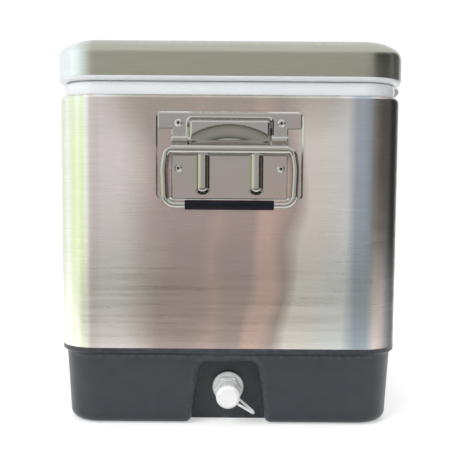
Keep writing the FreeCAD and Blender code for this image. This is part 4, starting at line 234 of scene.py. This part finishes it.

# %% [markdown]
# Thin sheet is never quite flat. It was rolled, bent round the body and pulled by its rivets, so the room it
# reflects breaks into soft bands up the walls, and here those bands are painted reflections in the belt's
# colour. On the drain end they go from leaf green and white at the left corner, through warm greys and a
# rosy band, to sky blue and a dark right corner, as the room showed in it. The bands sway a little in the
# middle and are straight at the corners, and a painted warm shade lies over them under the lid. The other
# walls have plain pale stripes of painted reflection. The same effect paints a highlight on the lid's left
# corner at the drain end, which is lit white.

# %% Effect: painted reflection bands
# The colours of the painted reflections on the belt.
REFLECTION_SHADES = {
    "white": (1.0, 1.0, 1.0), "leaf": (0.8, 0.9, 0.6), "pale": (0.95, 0.92, 0.92),
    "warm grey": (0.8, 0.75, 0.7), "dull rose": (0.6, 0.5, 0.48), "blush": (0.7, 0.55, 0.52),
    "rose": (0.85, 0.65, 0.58), "cream": (1.0, 0.98, 0.92), "sky": (0.95, 1.0, 1.0),
    "slate": (0.5, 0.6, 0.7), "smoke": (0.25, 0.25, 0.25), "dark": (0.03, 0.03, 0.03),
}
# Stops of the painted reflection bands across the drain end, in millimetres from the middle, left to right.
END_REFLECTION_BANDS = (
    (-204, "white"), (-197, "leaf"), (-190, "white"), (-183, "leaf"), (-176, "pale"), (-171, "leaf"),
    (-166, "white"), (-161, "warm grey"), (-148, "pale"), (-130, "pale"), (-108, "warm grey"),
    (-82, "dull rose"), (-48, "dull rose"), (-30, "blush"), (-12, "dull rose"), (18, "dull rose"),
    (30, "rose"), (48, "rose"), (62, "dull rose"), (80, "cream"), (104, "cream"), (118, "sky"),
    (134, "sky"), (147, "slate"), (160, "slate"), (170, "warm grey"), (178, "dull rose"),
    (186, "smoke"), (195, "dark"),
)
# Painted reflection stripes on the long walls.
WALL_REFLECTION_STRIPES = ((0.3, (0.52, 0.51, 0.48)), (0.48, (0.66, 0.65, 0.63)), (0.7, (0.80, 0.80, 0.78)))
# A painted warm shade over the drain end's bands under the lid.
LID_PAINTED_SHADE = (0.50, 0.48, 0.42)
PLAIN_SHEET = (0.62, 0.61, 0.60)
WALL_SPAN = 0.207
SWAY = 0.055


def ramp(tree, source, stops):
    """The colour socket of a ramp with the given places and colours."""
    made = add(tree, "ValToRGB", [(0, source)])
    for number, (spot, colour) in enumerate(stops):
        stop = made.color_ramp.elements[number] if number < 2 else made.color_ramp.elements.new(spot)
        stop.position, stop.color = spot, (*colour, 1)
    return made.outputs[0]


tree, given, result = effect("Painted reflection bands", [("Strength", 1.0)], ["Colour", "Painted corner highlight"])
place = add(tree, "TexCoord").outputs["Object"]
x, y, z = add(tree, "SeparateXYZ", [(0, place)]).outputs
slow = add(tree, "VectorMath", [(0, place), (1, (9.0, 2.0, 5.0))], operation="MULTIPLY").outputs[0]
leaning = add(tree, "TexNoise", [("Vector", slow), ("Scale", 1.0), ("Detail", 1.5)]).outputs[0]
reach = between(tree, maths(tree, "ABSOLUTE", x), 0.09, 0.145, SWAY, 0.0)
sway = maths(tree, "MULTIPLY", between(tree, leaning, 0.0, 1.0, -1.0, 1.0), reach)
share = between(tree, maths(tree, "ADD", x, sway), -WALL_SPAN, WALL_SPAN, 0.0, 1.0)
# The painted reflection bands across the drain end.
ends = ramp(tree, share, [((across / 1000 + WALL_SPAN) / (2 * WALL_SPAN), REFLECTION_SHADES[shade])
                          for across, shade in END_REFLECTION_BANDS])
# Painted shade under the lid, with a wavering edge, fading out towards the corners.
high = maths(tree, "ADD", z, between(tree, leaning, 0.3, 0.7, -0.02, 0.02))
lid_shade_share = between(tree, high, 0.325, 0.385, 0.0, 0.75)
inner = between(tree, maths(tree, "ABSOLUTE", x), 0.12, 0.16, 1.0, 0.0)
end_painted_reflections = blend_colours(tree, maths(tree, "MULTIPLY", lid_shade_share, inner), ends, LID_PAINTED_SHADE)
round_box = add(tree, "CombineXYZ", [(0, maths(tree, "ADD", x, y))]).outputs[0]
stripes = add(tree, "TexNoise", [("Vector", round_box), ("Scale", 13.0), ("Detail", 3.0),
                                 ("Roughness", 0.6)]).outputs[0]
# Painted reflection stripes on the long walls.
walls = ramp(tree, stripes, WALL_REFLECTION_STRIPES)
facing = add(tree, "SeparateXYZ", [(0, add(tree, "NewGeometry").outputs["Normal"])]).outputs[1]
on_end = between(tree, facing, -0.1, -0.5, 0.0, 1.0)
tinted = blend_colours(tree, on_end, walls, end_painted_reflections)
tree.links.new(blend_colours(tree, given["Strength"], PLAIN_SHEET, tinted), result["Colour"])
# A painted highlight on the lid's left corner at the drain end, where it is lit white.
lit_corner_across = between(tree, x, -0.158, -0.182, 0.0, 1.0)
lit_corner_along = between(tree, y, -0.22, -0.28, 0.0, 1.0)
tree.links.new(maths(tree, "MULTIPLY", lit_corner_across, lit_corner_along), result["Painted corner highlight"])
print("Painted reflection bands:", len(tree.nodes), "nodes")

# %% [markdown]
# Each metal finish is the same idea with other numbers: a base colour varied by the grain, a roughness
# varied by the smudges, and on the small turned parts a bump from the scratches. The belt and the lid
# carry their scratches in colour and gloss alone, since those are finer than a pixel. Polished metal has
# faint waves and rubbed edges in place of the grain. Values that are the same all over the surface are set
# on the shader itself.

# %% Metal finishes
FINISHES = {}


def shader(name, **constants):
    """A new material and its surface shader, with the shader's plain values set."""
    made = bpy.data.materials.new(name)
    made.use_nodes = True
    tree = made.node_tree
    surface = tree.nodes["Principled BSDF"]
    for socket, value in constants.items():
        surface.inputs[socket.replace("_", " ")].default_value = value
    FINISHES[name] = made
    return tree, surface


def bump(tree, surface, height, strength, distance):
    """Links a height to the shader's normal."""
    made = add(tree, "Bump", [("Strength", strength), ("Distance", distance), ("Height", height)])
    tree.links.new(made.outputs[0], surface.inputs["Normal"])


def brushed(name, colour, rough, lines, contrast, anisotropy=0.0, relief=0.25, bands=0.0, corner=None):
    """Brushed sheet or turned bar, with the belt's painted reflection bands or with a painted highlight on a
    lit corner if asked for.
    """
    tree, surface = shader(name, Metallic=1.0, Anisotropic=anisotropy)
    grain = use(tree, "Brushed grain", Lines_per_metre=lines)
    smudge = use(tree, "Smudges")["Smudge"]
    ground = colour
    # The bands are painted reflections, and the corner colour is a painted highlight.
    if bands:
        ground = use(tree, "Painted reflection bands", Strength=bands)["Colour"]
    if corner:
        ground = blend_colours(tree, use(tree, "Painted reflection bands")["Painted corner highlight"], colour, corner)
    light = between(tree, grain["Streak"], 0.3, 0.7, 1 - contrast, 1 + contrast)
    streaked = blend_colours(tree, 1.0, ground, light, "MULTIPLY")
    clouded = blend_colours(tree, between(tree, smudge, 0.0, 1.0, 0.0, 0.12), streaked, (0.42, 0.41, 0.39))
    tree.links.new(clouded, surface.inputs["Base Color"])
    worn = maths(tree, "ADD", between(tree, grain["Broad"], 0.3, 0.7, rough - 0.05, rough + 0.05),
                 between(tree, smudge, 0.0, 1.0, 0.0, 0.06))
    tree.links.new(worn, surface.inputs["Roughness"])
    if relief:
        bump(tree, surface, grain["Streak"], relief, 0.00006)


def polished(name, colour, rough, tint=(0.6, 0.58, 0.55)):
    """Pressed bright sheet, drawn wire or plating: nearly a mirror, with faint cloudy marks."""
    tree, surface = shader(name, Metallic=1.0)
    smudge = use(tree, "Smudges", Size=34.0, Sharpness=0.6)["Smudge"]
    rub = use(tree, "Edge rub", Reach=0.0009, Breakup=220.0)["Rub"]
    clouded = blend_colours(tree, between(tree, smudge, 0.0, 1.0, 0.0, 0.22), colour, tint)
    rubbed = blend_colours(tree, between(tree, rub, 0.0, 1.0, 0.0, 0.5), clouded, (0.86, 0.86, 0.84))
    tree.links.new(rubbed, surface.inputs["Base Color"])
    tree.links.new(between(tree, smudge, 0.0, 1.0, rough, rough + 0.09), surface.inputs["Roughness"])
    skin = use(tree, "Moulded skin", Grains_per_metre=420.0, Waviness=1.0)["Height"]
    bump(tree, surface, skin, 0.10, 0.0002)


# The belt's colour carries painted reflection bands, and the lid's carries a painted highlight on its left
# corner at the drain end.
brushed("belt sheet", (0.55, 0.545, 0.535), 0.28, 1500.0, 0.08, anisotropy=0.45, relief=0.0, bands=1.0)
brushed("lid sheet", (0.46, 0.47, 0.40), 0.30, 1200.0, 0.06, anisotropy=0.2, relief=0.0,
        corner=(0.92, 0.98, 1.0))
brushed("rivet steel", (0.62, 0.62, 0.60), 0.26, 2600.0, 0.06)
brushed("fitting steel", (0.60, 0.60, 0.58), 0.24, 3200.0, 0.10)
brushed("lever steel", (0.64, 0.64, 0.63), 0.18, 3600.0, 0.05, relief=0.15)
polished("bright steel", (0.49, 0.48, 0.46), 0.08)
polished("pressed edge", (0.60, 0.59, 0.57), 0.20)
# The rivet pins are black as painted shade of the rivets' hollow eyes.
polished("pin in painted shade", (0.02, 0.02, 0.02), 0.35, (0.03, 0.03, 0.03))
polished("plated brass", (0.66, 0.66, 0.65), 0.07, (0.52, 0.52, 0.52))
polished("yellow brass", (0.60, 0.42, 0.16), 0.24, (0.38, 0.25, 0.10))
print("metals:", sorted(FINISHES))

# %% [markdown]
# The cold plate is a sand casting, machined only where its fittings screw in. Sand casting leaves a dull,
# pitted skin, so its bump is coarser and its roughness high, and the ridges are rubbed bright by ice.

# %% Cast aluminium
tree, surface = shader("cast aluminium", Metallic=1.0)
skin = use(tree, "Moulded skin", Grains_per_metre=700.0, Waviness=0.8)
rub = use(tree, "Edge rub", Reach=0.0018, Breakup=90.0)["Rub"]
mottle = between(tree, skin["Mottle"], 0.35, 0.65, 0.0, 1.0)
dull = blend_colours(tree, mottle, (0.50, 0.51, 0.52), (0.64, 0.65, 0.66))
tree.links.new(blend_colours(tree, rub, dull, (0.82, 0.83, 0.84)), surface.inputs["Base Color"])
tree.links.new(between(tree, skin["Mottle"], 0.3, 0.7, 0.42, 0.60), surface.inputs["Roughness"])
bump(tree, surface, skin["Height"], 0.55, 0.0004)
print("cast aluminium ready")

# %% [markdown]
# The plastics differ in colour, skin and gloss. The base is slate grey with a fine spark-eroded skin, the
# liner a glossy white with a cold cast, the drain fittings a warmer white, and the tap knobs black. Rubbed
# edges are paler than the colour, because scratched plastic scatters the light. On the base the pale band
# reaches far round the rounded edges and rims, and there it is mostly a painted highlight, with some real
# scuffing.

# %% Plastics and rubbers
def moulded(name, colour, pale, rough, grains, relief, scuffs_and_highlight=0.0, reach=0.0016, coat=0.0, waviness=0.3,
            shine=0.5):
    """Moulded plastic or rubber with its skin, its mottle and its pale rubbed edges, which on the base are
    mostly a painted highlight.
    """
    tree, surface = shader(name, Coat_Weight=coat, Coat_Roughness=0.12, Specular_IOR_Level=shine)
    skin = use(tree, "Moulded skin", Grains_per_metre=grains, Waviness=waviness)
    smudge = use(tree, "Smudges", Size=11.0)["Smudge"]
    mixed = blend_colours(tree, between(tree, skin["Mottle"], 0.35, 0.65, 0.0, 1.0), colour, pale)
    # Pale rubbed edges: scuffing, and on the base mostly a painted highlight.
    if scuffs_and_highlight:
        rub = use(tree, "Edge rub", Reach=reach, Breakup=180.0)["Rub"]
        worn = tuple(min(1.0, part * 1.9 + 0.03) for part in pale)
        mixed = blend_colours(tree, between(tree, rub, 0.0, 1.0, 0.0, scuffs_and_highlight), mixed, worn)
    tree.links.new(mixed, surface.inputs["Base Color"])
    tree.links.new(between(tree, smudge, 0.0, 1.0, rough, rough + 0.10), surface.inputs["Roughness"])
    bump(tree, surface, skin["Height"], relief, 0.0002)


# On the base the pale rub reaches 9 mm round the rounded edges and the recess rim: mostly a painted
# highlight, with some scuffing.
moulded("base plastic", (0.018, 0.024, 0.031), (0.023, 0.030, 0.038), 0.30, 1400.0, 0.20, scuffs_and_highlight=0.9,
        reach=0.009)
moulded("liner plastic", (0.90, 0.93, 0.95), (0.92, 0.95, 0.97), 0.18, 500.0, 0.06, coat=0.3)
moulded("drain plastic", (0.92, 0.93, 0.92), (0.95, 0.96, 0.95), 0.30, 900.0, 0.10)
moulded("knob plastic", (0.012, 0.012, 0.013), (0.016, 0.016, 0.017), 0.22, 700.0, 0.06, scuffs_and_highlight=0.2,
        coat=0.5)
moulded("grip rubber", (0.004, 0.005, 0.008), (0.006, 0.007, 0.010), 0.50, 1900.0, 0.30, shine=0.2)
moulded("seal rubber", (0.014, 0.014, 0.014), (0.020, 0.020, 0.020), 0.60, 1500.0, 0.30)
moulded("foam", (0.80, 0.72, 0.45), (0.86, 0.80, 0.56), 0.85, 650.0, 0.90, waviness=1.5)
print("plastics:", [name for name in FINISHES if "plastic" in name or "rubber" in name])

# %% [markdown]
# Every solid part takes the finish of what it is made of. The record names a finish slot for each part,
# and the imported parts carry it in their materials, so a table from slot to finish is enough.

# %% Give every solid part its finish
SLOTS = {
    "belt_steel": "belt sheet", "lid_steel": "lid sheet", "bright_steel": "bright steel",
    "rivet_steel": "rivet steel", "fitting_steel": "fitting steel", "base_plastic": "base plastic",
    "liner_plastic": "liner plastic", "foam": "foam", "grip_rubber": "grip rubber",
    "drain_plastic": "drain plastic", "seal_rubber": "seal rubber", "cast_aluminium": "cast aluminium",
    "plated_brass": "plated brass", "lever_steel": "lever steel", "yellow_brass": "yellow brass",
    "knob_plastic": "knob plastic",
}
for name, node in NODES.items():
    for place in node.material_slots:
        slot = place.material.name.split(".")[0]
        if slot not in SLOTS:
            print("no finish for", name, slot)
            continue
        place.material = FINISHES[SLOTS[slot]]
print("dressed", len(NODES), "parts")

# %% [markdown]
# Each handle hangs in a backplate stamped from one sheet of bright steel. A press leaves no sharp edge: the
# hood over the pull swells out of the sheet, a scoop is sunk in its lower half, a collar runs out from each
# side of it, two ribs stiffen the foot, and a bead wraps the wire. Boxes with bevels would give hard lines,
# so the plate is a fine grid whose points are pushed out by a height for each form, and a smooth maximum
# melts the forms into each other.

# %% Heights of the stamped forms, in millimetres
PLATE_HALF, EAR_HALF, PLATE_FOOT, EAR_FOOT, PLATE_TOP = 67.0, 83.0, 268.0, 349.0, 368.0
PLATE_FACE = 319.2
PIVOT_HEIGHT, BEAD_RADIUS, BEAD_CENTRE, BEAD_SLOPE, BEAD_FOOT = 325.6, 5.6, 6.6, 7.5, 0.1
HOOD_HALF, HOOD_FOOT, HOOD_TOP, HOOD_RISE, HOOD_EASE, HOOD_FOOT_EASE = 51.0, 331.6, 364.0, 7.0, 8.0, 5.0
SCOOP_RADIUS, SCOOP_CENTRE, SCOOP_SHARE, SCOOP_EASE = 81.5, 265.0, 0.66, 10.0
RIB_PLACE, RIB_FOOT, RIB_RADIUS, RIB_RISE = 31.0, 282.0, 7.4, 6.0
COLLAR_HALF, COLLAR_HEIGHT, COLLAR_RADIUS, COLLAR_RISE, COLLAR_EASE = 49.0, 336.4, 5.6, 3.4, 7.0
COLLAR_SINK = 9.0
EDGE_REACH, EDGE_DROP = 1.4, 0.5
STEEPEST_SHARE = 0.97
RIB_MELT, COLLAR_MELT, BEAD_MELT = 1.6, 1.2, 1.4


def ease(share):
    """A soft step from 0 to 1."""
    share = min(1.0, max(0.0, share))
    return share * share * (3 - 2 * share)


def melt(first, second, reach):
    """The larger of two heights, rounded where they cross."""
    near = max(reach - abs(first - second), 0.0) / reach
    return max(first, second) + near * near * reach / 4


def half_round(offset, radius, rise, fall=3.0):
    """The height of a half-round swelling, falling away below the sheet outside its foot."""
    share = abs(offset) / radius
    if share < STEEPEST_SHARE:
        return rise * math.sqrt(1 - share * share)
    return rise * math.sqrt(1 - STEEPEST_SHARE ** 2) - (share - STEEPEST_SHARE) * radius * fall


def plate_height(across, level):
    """How far the stamped sheet stands out at a place."""
    side = ease((HOOD_HALF - abs(across)) / HOOD_EASE)
    crown = ease((HOOD_TOP - level) / HOOD_EASE)
    foot = ease((level - HOOD_FOOT) / HOOD_FOOT_EASE)
    arch = SCOOP_RADIUS - math.hypot(across, level - SCOOP_CENTRE)
    scoop = ease((arch + SCOOP_EASE) / (2 * SCOOP_EASE))
    height = HOOD_RISE * side * crown * foot * (1 - SCOOP_SHARE * scoop)
    if level < PIVOT_HEIGHT:
        for place in (-RIB_PLACE, RIB_PLACE):
            off_rib = math.hypot(across - place, max(RIB_FOOT - level, 0.0))
            height = melt(height, half_round(off_rib, RIB_RADIUS, RIB_RISE), RIB_MELT)
    collar = half_round(level - COLLAR_HEIGHT, COLLAR_RADIUS, COLLAR_RISE)
    collar -= COLLAR_SINK * ease((COLLAR_HALF - abs(across)) / COLLAR_EASE)
    height = melt(height, collar, COLLAR_MELT)
    gap = abs(level - PIVOT_HEIGHT)
    if gap < BEAD_RADIUS - BEAD_FOOT:
        bead = BEAD_CENTRE + math.sqrt(BEAD_RADIUS ** 2 - gap ** 2)
    else:
        bead = BEAD_CENTRE + 1.0 - (gap - BEAD_RADIUS + BEAD_FOOT) * BEAD_SLOPE
    rim = min(PLATE_TOP - level, level - PLATE_FOOT)
    if level < EAR_FOOT or abs(across) < PLATE_HALF:
        rim = min(rim, max(PLATE_HALF - abs(across), level - EAR_FOOT))
    else:
        rim = min(rim, EAR_HALF - abs(across), level - EAR_FOOT)
    roll = EDGE_DROP * ease((EDGE_REACH - rim) / EDGE_REACH) * ease(gap - BEAD_RADIUS - 0.5)
    return max(0.0, melt(height, bead, BEAD_MELT)) - roll


print("hood", round(plate_height(0, 354), 1), "scoop", round(plate_height(0, 340), 1),
      "rib", round(plate_height(RIB_PLACE, 300), 1), "bead", round(plate_height(60, PIVOT_HEIGHT), 1), "mm")

# %% [markdown]
# A press blanks the sheet to its outline with round corners, then forms it. The same order serves here: a
# flat grid loses the strips beside its narrow foot, the points outside each corner are drawn in to its
# arc, and every point is pushed out by its height. A last step gives the sheet its thickness. The plate at
# the tap end is the same stamping, turned round.

# %% Stamp the plates
PLATE_CORNER = 3.5
PLATE_GAUGE = 0.00115
SLACK = 0.1


def apply_modifiers(piece):
    """Every modifier of a piece, made part of its mesh."""
    bpy.context.view_layer.objects.active = piece
    for modifier in list(piece.modifiers):
        bpy.ops.object.modifier_apply(modifier=modifier.name)


def fresh(kind, **choices):
    """A new primitive, with nothing else selected."""
    bpy.ops.object.select_all(action="DESELECT")
    getattr(bpy.ops.mesh, "primitive_" + kind + "_add")(**choices)
    return bpy.context.object


def put_on(piece, body, finish, name):
    """Places, name, body and finish of a new piece."""
    bpy.ops.object.select_all(action="DESELECT")
    piece.select_set(True)
    bpy.context.view_layer.objects.active = piece
    bpy.ops.object.transform_apply(location=True, rotation=True, scale=True)
    piece.name = piece.data.name = name
    piece.data.materials.clear()
    piece.data.materials.append(FINISHES[finish])
    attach(piece, body)


def face_outward(mesh, toward):
    """Turns the faces of an open sheet to one side along the box."""
    bmesh.ops.recalc_face_normals(mesh, faces=mesh.faces)
    if sum(face.normal.y for face in mesh.faces) * toward < 0:
        bmesh.ops.reverse_faces(mesh, faces=mesh.faces)


def round_corners(mesh, half, low, high=None):
    """Points outside the corners of one outline, drawn in to their arcs."""
    for point in mesh.verts:
        side = abs(point.co.x) - (half - PLATE_CORNER)
        ends = [low + PLATE_CORNER - point.co.z] + ([point.co.z - (high - PLATE_CORNER)] if high else [])
        for end in ends:
            reach = math.hypot(side, end)
            near = abs(point.co.x) <= half + SLACK and end <= PLATE_CORNER + SLACK
            outside = side > 0 and end > 0 and reach > PLATE_CORNER
            if near and outside and (half == PLATE_HALF or point.co.z >= EAR_FOOT - 0.01):
                shift = end * (1 - PLATE_CORNER / reach)
                point.co.x = math.copysign(half - PLATE_CORNER + side * PLATE_CORNER / reach, point.co.x)
                point.co.z += shift if end == ends[0] else -shift


def stamped_plate():
    """The sheet at the drain end, as one grid with its forms, its outline and its thickness."""
    sheet = fresh("grid", x_subdivisions=166, y_subdivisions=200, size=1.0)
    mesh = bmesh.new()
    mesh.from_mesh(sheet.data)
    for point in mesh.verts:
        level = PLATE_FOOT + (point.co.y + 0.5) * (PLATE_TOP - PLATE_FOOT)
        point.co = Vector((point.co.x * 2 * EAR_HALF, 0, level))
    outside = [face for face in mesh.faces if abs(face.calc_center_median().x) > PLATE_HALF
               and face.calc_center_median().z < EAR_FOOT]
    bmesh.ops.delete(mesh, geom=outside, context="FACES")
    round_corners(mesh, PLATE_HALF, PLATE_FOOT)
    round_corners(mesh, EAR_HALF, EAR_FOOT, PLATE_TOP)
    bmesh.ops.remove_doubles(mesh, verts=mesh.verts, dist=0.2)
    for point in mesh.verts:
        height = plate_height(point.co.x, point.co.z)
        point.co = Vector((point.co.x, -(PLATE_FACE + height), point.co.z)) / 1000
    face_outward(mesh, -1)
    mesh.to_mesh(sheet.data)
    mesh.free()
    wall = sheet.modifiers.new("thickness", "SOLIDIFY")
    wall.thickness, wall.offset = PLATE_GAUGE, -1.0
    apply_modifiers(sheet)
    bpy.ops.object.shade_smooth_by_angle(angle=math.radians(40))
    return sheet


plate = stamped_plate()
twin = plate.copy()
twin.data = plate.data.copy()
SCENE.collection.objects.link(twin)
twin.rotation_euler.z = math.pi
for piece, end in ((plate, "drain_end"), (twin, "tap_end")):
    put_on(piece, "cooler", "bright steel", "handle_stamping_" + end)
    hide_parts("handle_plate_" + end)
    print(piece.name, len(piece.data.polygons), "faces")

# %% [markdown]
# The sheet of the belt is pressed in behind each handle, so that the handle lies nearly flush. The press
# rolls the sheet over a small radius all round, and this roll draws a bright line on the side turned to the
# light and a dark one on the other. It is a narrow frame, lofted in a few steps from the face to the floor.

# %% Rolled edge of the sunk panels
PANEL_HALF, PANEL_LOW, PANEL_HIGH, PANEL_CORNER = 86.6, 266.4, 370.6, 7.6
PANEL_FACE, ROLL_WIDTH, ROLL_DEPTH, CORNER_LOSS = 320.04, 4.2, 1.95, 0.6
ROLL_STEPS = 8


def panel_ring(half_wide, low, high, corner, depth):
    """Points round a rounded rectangle at one depth, in metres."""
    points = []
    for turn, (x, z) in enumerate(((half_wide - corner, high - corner), (-half_wide + corner, high - corner),
                                   (-half_wide + corner, low + corner), (half_wide - corner, low + corner))):
        for step in range(ROLL_STEPS + 1):
            angle = math.radians(90 * turn + 90 * step / ROLL_STEPS)
            points.append((x + corner * math.cos(angle), -depth, z + corner * math.sin(angle)))
    return [tuple(part / 1000 for part in point) for point in points]


def panel_roll(name, turned):
    """The rolled frame of one panel."""
    rings = []
    for step in range(ROLL_STEPS + 1):
        share = step / ROLL_STEPS
        inward = ROLL_WIDTH * share
        rings.append(panel_ring(PANEL_HALF - inward, PANEL_LOW + inward, PANEL_HIGH - inward,
                                PANEL_CORNER - inward * CORNER_LOSS, PANEL_FACE - ROLL_DEPTH * ease(share)))
    count = len(rings[0])
    points = [point for ring in rings for point in ring]
    faces = []
    for row in range(len(rings) - 1):
        for spot in range(count):
            following = (spot + 1) % count
            faces.append((row * count + spot, row * count + following, (row + 1) * count + following,
                          (row + 1) * count + spot))
    frame_mesh = bpy.data.meshes.new(name)
    frame_mesh.from_pydata(points, [], faces)
    piece = bpy.data.objects.new(name, frame_mesh)
    SCENE.collection.objects.link(piece)
    if turned:
        piece.rotation_euler.z = math.pi
    bpy.ops.object.select_all(action="DESELECT")
    piece.select_set(True)
    bpy.context.view_layer.objects.active = piece
    bpy.ops.object.shade_smooth()
    put_on(piece, "cooler", "pressed edge", name)
    mesh = bmesh.new()
    mesh.from_mesh(piece.data)
    face_outward(mesh, 1 if turned else -1)
    mesh.to_mesh(piece.data)
    mesh.free()
    return piece


for end, turned in (("drain_end", False), ("tap_end", True)):
    roll = panel_roll("panel_roll_" + end, turned)
    print(roll.name, len(roll.data.polygons), "faces")

# %% [markdown]
# A pop rivet is set by a steel pin that snaps off below its head. What is left of the pin sits in the
# rivet's eye, coloured black as painted shade of the hollow eye. It is a ball pressed flat, and the loop
# makes one for every eye.

# %% Pins in the rivets
PIN_LIFT, PIN_RADIUS, PIN_DOME = 0.72, 0.00146, 0.35
PIN_FACE = PLATE_FACE + PIN_LIFT
RIVET_HALF, RIVET_HEIGHTS = 59.3, (356.0, 304.1)
PIN_PLACES = []
for x in (-RIVET_HALF, RIVET_HALF):
    for z in RIVET_HEIGHTS:
        PIN_PLACES += [((x, -PIN_FACE, z), "end"), ((x, PIN_FACE, z), "far end")]
for number, ((x, y, z), wall) in enumerate(PIN_PLACES):
    pin = fresh("uv_sphere", segments=20, ring_count=10, radius=PIN_RADIUS, location=(0, 0, 0))
    for point in pin.data.vertices:
        point.co.z *= PIN_DOME
    pin.rotation_euler.x = math.radians(90 if wall == "end" else -90)
    pin.location = Vector((x, y, z)) / 1000
    bpy.ops.object.shade_smooth()
    put_on(pin, "cooler", "pin in painted shade", "rivet_pin_%02d" % (number + 1))
print("pins:", len(PIN_PLACES))

# %% [markdown]
# The stage is a pale floor that runs out of sight under an even white sky. The camera and the metals see
# the sky and the far floor as pure white, but the light that the sky gives is softer. Near the object the
# floor stays a real surface that takes a shadow, and further out it turns to plain white, so that no
# horizon shows.

# %% Floor and sky
def glow(tree, low, high):
    """A strength that is low for the light it gives and high for what is seen in it."""
    rays = add(tree, "LightPath").outputs
    seen = maths(tree, "MAXIMUM", rays["Is Camera Ray"], rays["Is Glossy Ray"])
    seen = maths(tree, "MAXIMUM", seen, rays["Is Transmission Ray"])
    return between(tree, seen, 0.0, 1.0, low, high)


FLOOR_GLOW, SKY_GLOW = 0.42, 0.50
bpy.ops.mesh.primitive_circle_add(vertices=96, radius=9.0, fill_type="NGON", location=(0, 0, -0.0005))
floor = bpy.context.object
floor.name = "floor"
tree, surface = shader("floor", Roughness=0.9, Specular_IOR_Level=0.0, Emission_Color=(1, 1, 1, 1))
place = add(tree, "TexCoord").outputs["Object"]
far = add(tree, "VectorMath", [(0, place)], operation="LENGTH").outputs["Value"]
fade = between(tree, far, 0.7, 1.8, 0.0, 1.0)
tree.links.new(blend_colours(tree, fade, (0.80, 0.80, 0.80), (0.0, 0.0, 0.0)), surface.inputs["Base Color"])
shown = maths(tree, "MULTIPLY", between(tree, fade, 0.0, 1.0, FLOOR_GLOW, 1.0), glow(tree, 0.0, 1.0))
tree.links.new(shown, surface.inputs["Emission Strength"])
floor.data.materials.append(FINISHES["floor"])
floor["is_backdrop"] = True

world = bpy.data.worlds.new("sky")
SCENE.world = world
world.use_nodes = True
tree = world.node_tree
tree.links.new(glow(tree, SKY_GLOW, 1.0), tree.nodes["Background"].inputs["Strength"])
tree.nodes["Background"].inputs["Color"].default_value = (1, 1, 1, 1)
print("floor and sky ready")

# %% [markdown]
# Steel shows the room more than itself. A studio stands grey and coloured boards round a steel object for
# this. A blotched grey one behind the camera tones the flat end down. Two dark ones on the right shade the
# corner and the side. On the left a leaf-green one stands low and a pale sky-blue one high, and a dim one
# lies in front like the ground and brightens outwards. Only reflections see the boards.

# %% Boards that the metal reflects
BOARDS = (
    ("grey_board", (0.1, -3.0, 0.75), (0, -0.3, 0.75), 3.4, 2.6, (0.60, 0.58, 0.56)),
    ("dark_board", (1.75, -1.25, 0.5), (0, -0.3, 0.5), 2.0, 2.2, (0.07, 0.075, 0.065)),
    ("leaf_board", (-1.55, -1.05, 0.10), (0, -0.3, 0.10), 0.62, 0.9, (1.00, 1.15, 0.62)),
    ("sky_board", (-1.55, -1.05, 1.15), (0, -0.3, 1.15), 0.80, 1.2, (1.15, 1.28, 1.32)),
    ("ground_board", (0.0, -1.55, 0.01), (0, -1.55, 2.0), 2.4, 1.9, (0.17, 0.18, 0.15)),
    ("side_board", (1.9, 0.5, 0.5), (0, 0.5, 0.5), 1.5, 2.2, (0.10, 0.11, 0.10)),
)
WARM_BLOTCH, COOL_BLOTCH = (0.72, 0.58, 0.54), (0.58, 0.62, 0.64)
NEAR_GROUND, FAR_GROUND = (0.14, 0.16, 0.12), (0.60, 0.56, 0.52)
for name, place, target, wide, tall, colour in BOARDS:
    bpy.ops.object.select_all(action="DESELECT")
    bpy.ops.mesh.primitive_plane_add(size=1.0, location=place)
    board = bpy.context.object
    board.name = name
    board.scale = (wide, tall, 1.0)
    board.rotation_euler = (Vector(target) - Vector(place)).to_track_quat("Z", "Y").to_euler()
    finish = name.replace("_", " ")
    tree, surface = shader(finish, Roughness=1.0, Base_Color=(0, 0, 0, 1), Specular_IOR_Level=0.0,
                           Emission_Color=(*colour, 1), Emission_Strength=1.0)
    if name == "grey_board":
        spot = add(tree, "TexCoord").outputs["Object"]
        cloud = add(tree, "TexNoise", [("Vector", spot), ("Scale", 9.0), ("Detail", 2.0)]).outputs[0]
        blotch = between(tree, cloud, 0.36, 0.64, 0.0, 1.0)
        blotched = blend_colours(tree, blotch, WARM_BLOTCH, COOL_BLOTCH)
        tree.links.new(blotched, surface.inputs["Emission Color"])
    if name == "ground_board":
        spot = add(tree, "TexCoord").outputs["Object"]
        along = add(tree, "SeparateXYZ", [(0, spot)]).outputs[1]
        brighter = between(tree, along, 0.0, -0.5, 0.0, 1.0)
        graded = blend_colours(tree, brighter, NEAR_GROUND, FAR_GROUND)
        tree.links.new(graded, surface.inputs["Emission Color"])
    board.data.materials.append(FINISHES[finish])
    board.visible_camera = board.visible_diffuse = board.visible_transmission = board.visible_shadow = False
    board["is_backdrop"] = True
print("boards:", [board[0] for board in BOARDS])

# %% [markdown]
# Three large soft lamps shape the plastics and put a soft shadow under the box: a key from the left, a fill
# from the right and one overhead, with a fourth behind for the tap end.

# %% Lamps
LAMPS = (
    ("key", (-1.7, -2.0, 1.9), 1.8, 50.0), ("fill", (2.0, -1.6, 1.3), 1.8, 8.0),
    ("top", (0.1, 0.1, 2.4), 2.0, 24.0), ("back", (0.4, 2.5, 1.5), 1.8, 24.0),
)
for name, place, size, power in LAMPS:
    light = bpy.data.lights.new(name, "AREA")
    light.size, light.energy = size, power
    lamp = bpy.data.objects.new(name, light)
    lamp.location = place
    lamp.rotation_euler = (Vector((0, 0, 0.2)) - Vector(place)).to_track_quat("-Z", "Y").to_euler()
    lamp.visible_glossy = False
    SCENE.collection.objects.link(lamp)
print("lamps:", [lamp[0] for lamp in LAMPS])

# %% Sizes and finish
SHOWN_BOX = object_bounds()
sizes = {"solid": [[float(v) for v in corner] for corner in SOLID_BOX],
         "shown": [[float(v) for v in corner] for corner in SHOWN_BOX]}
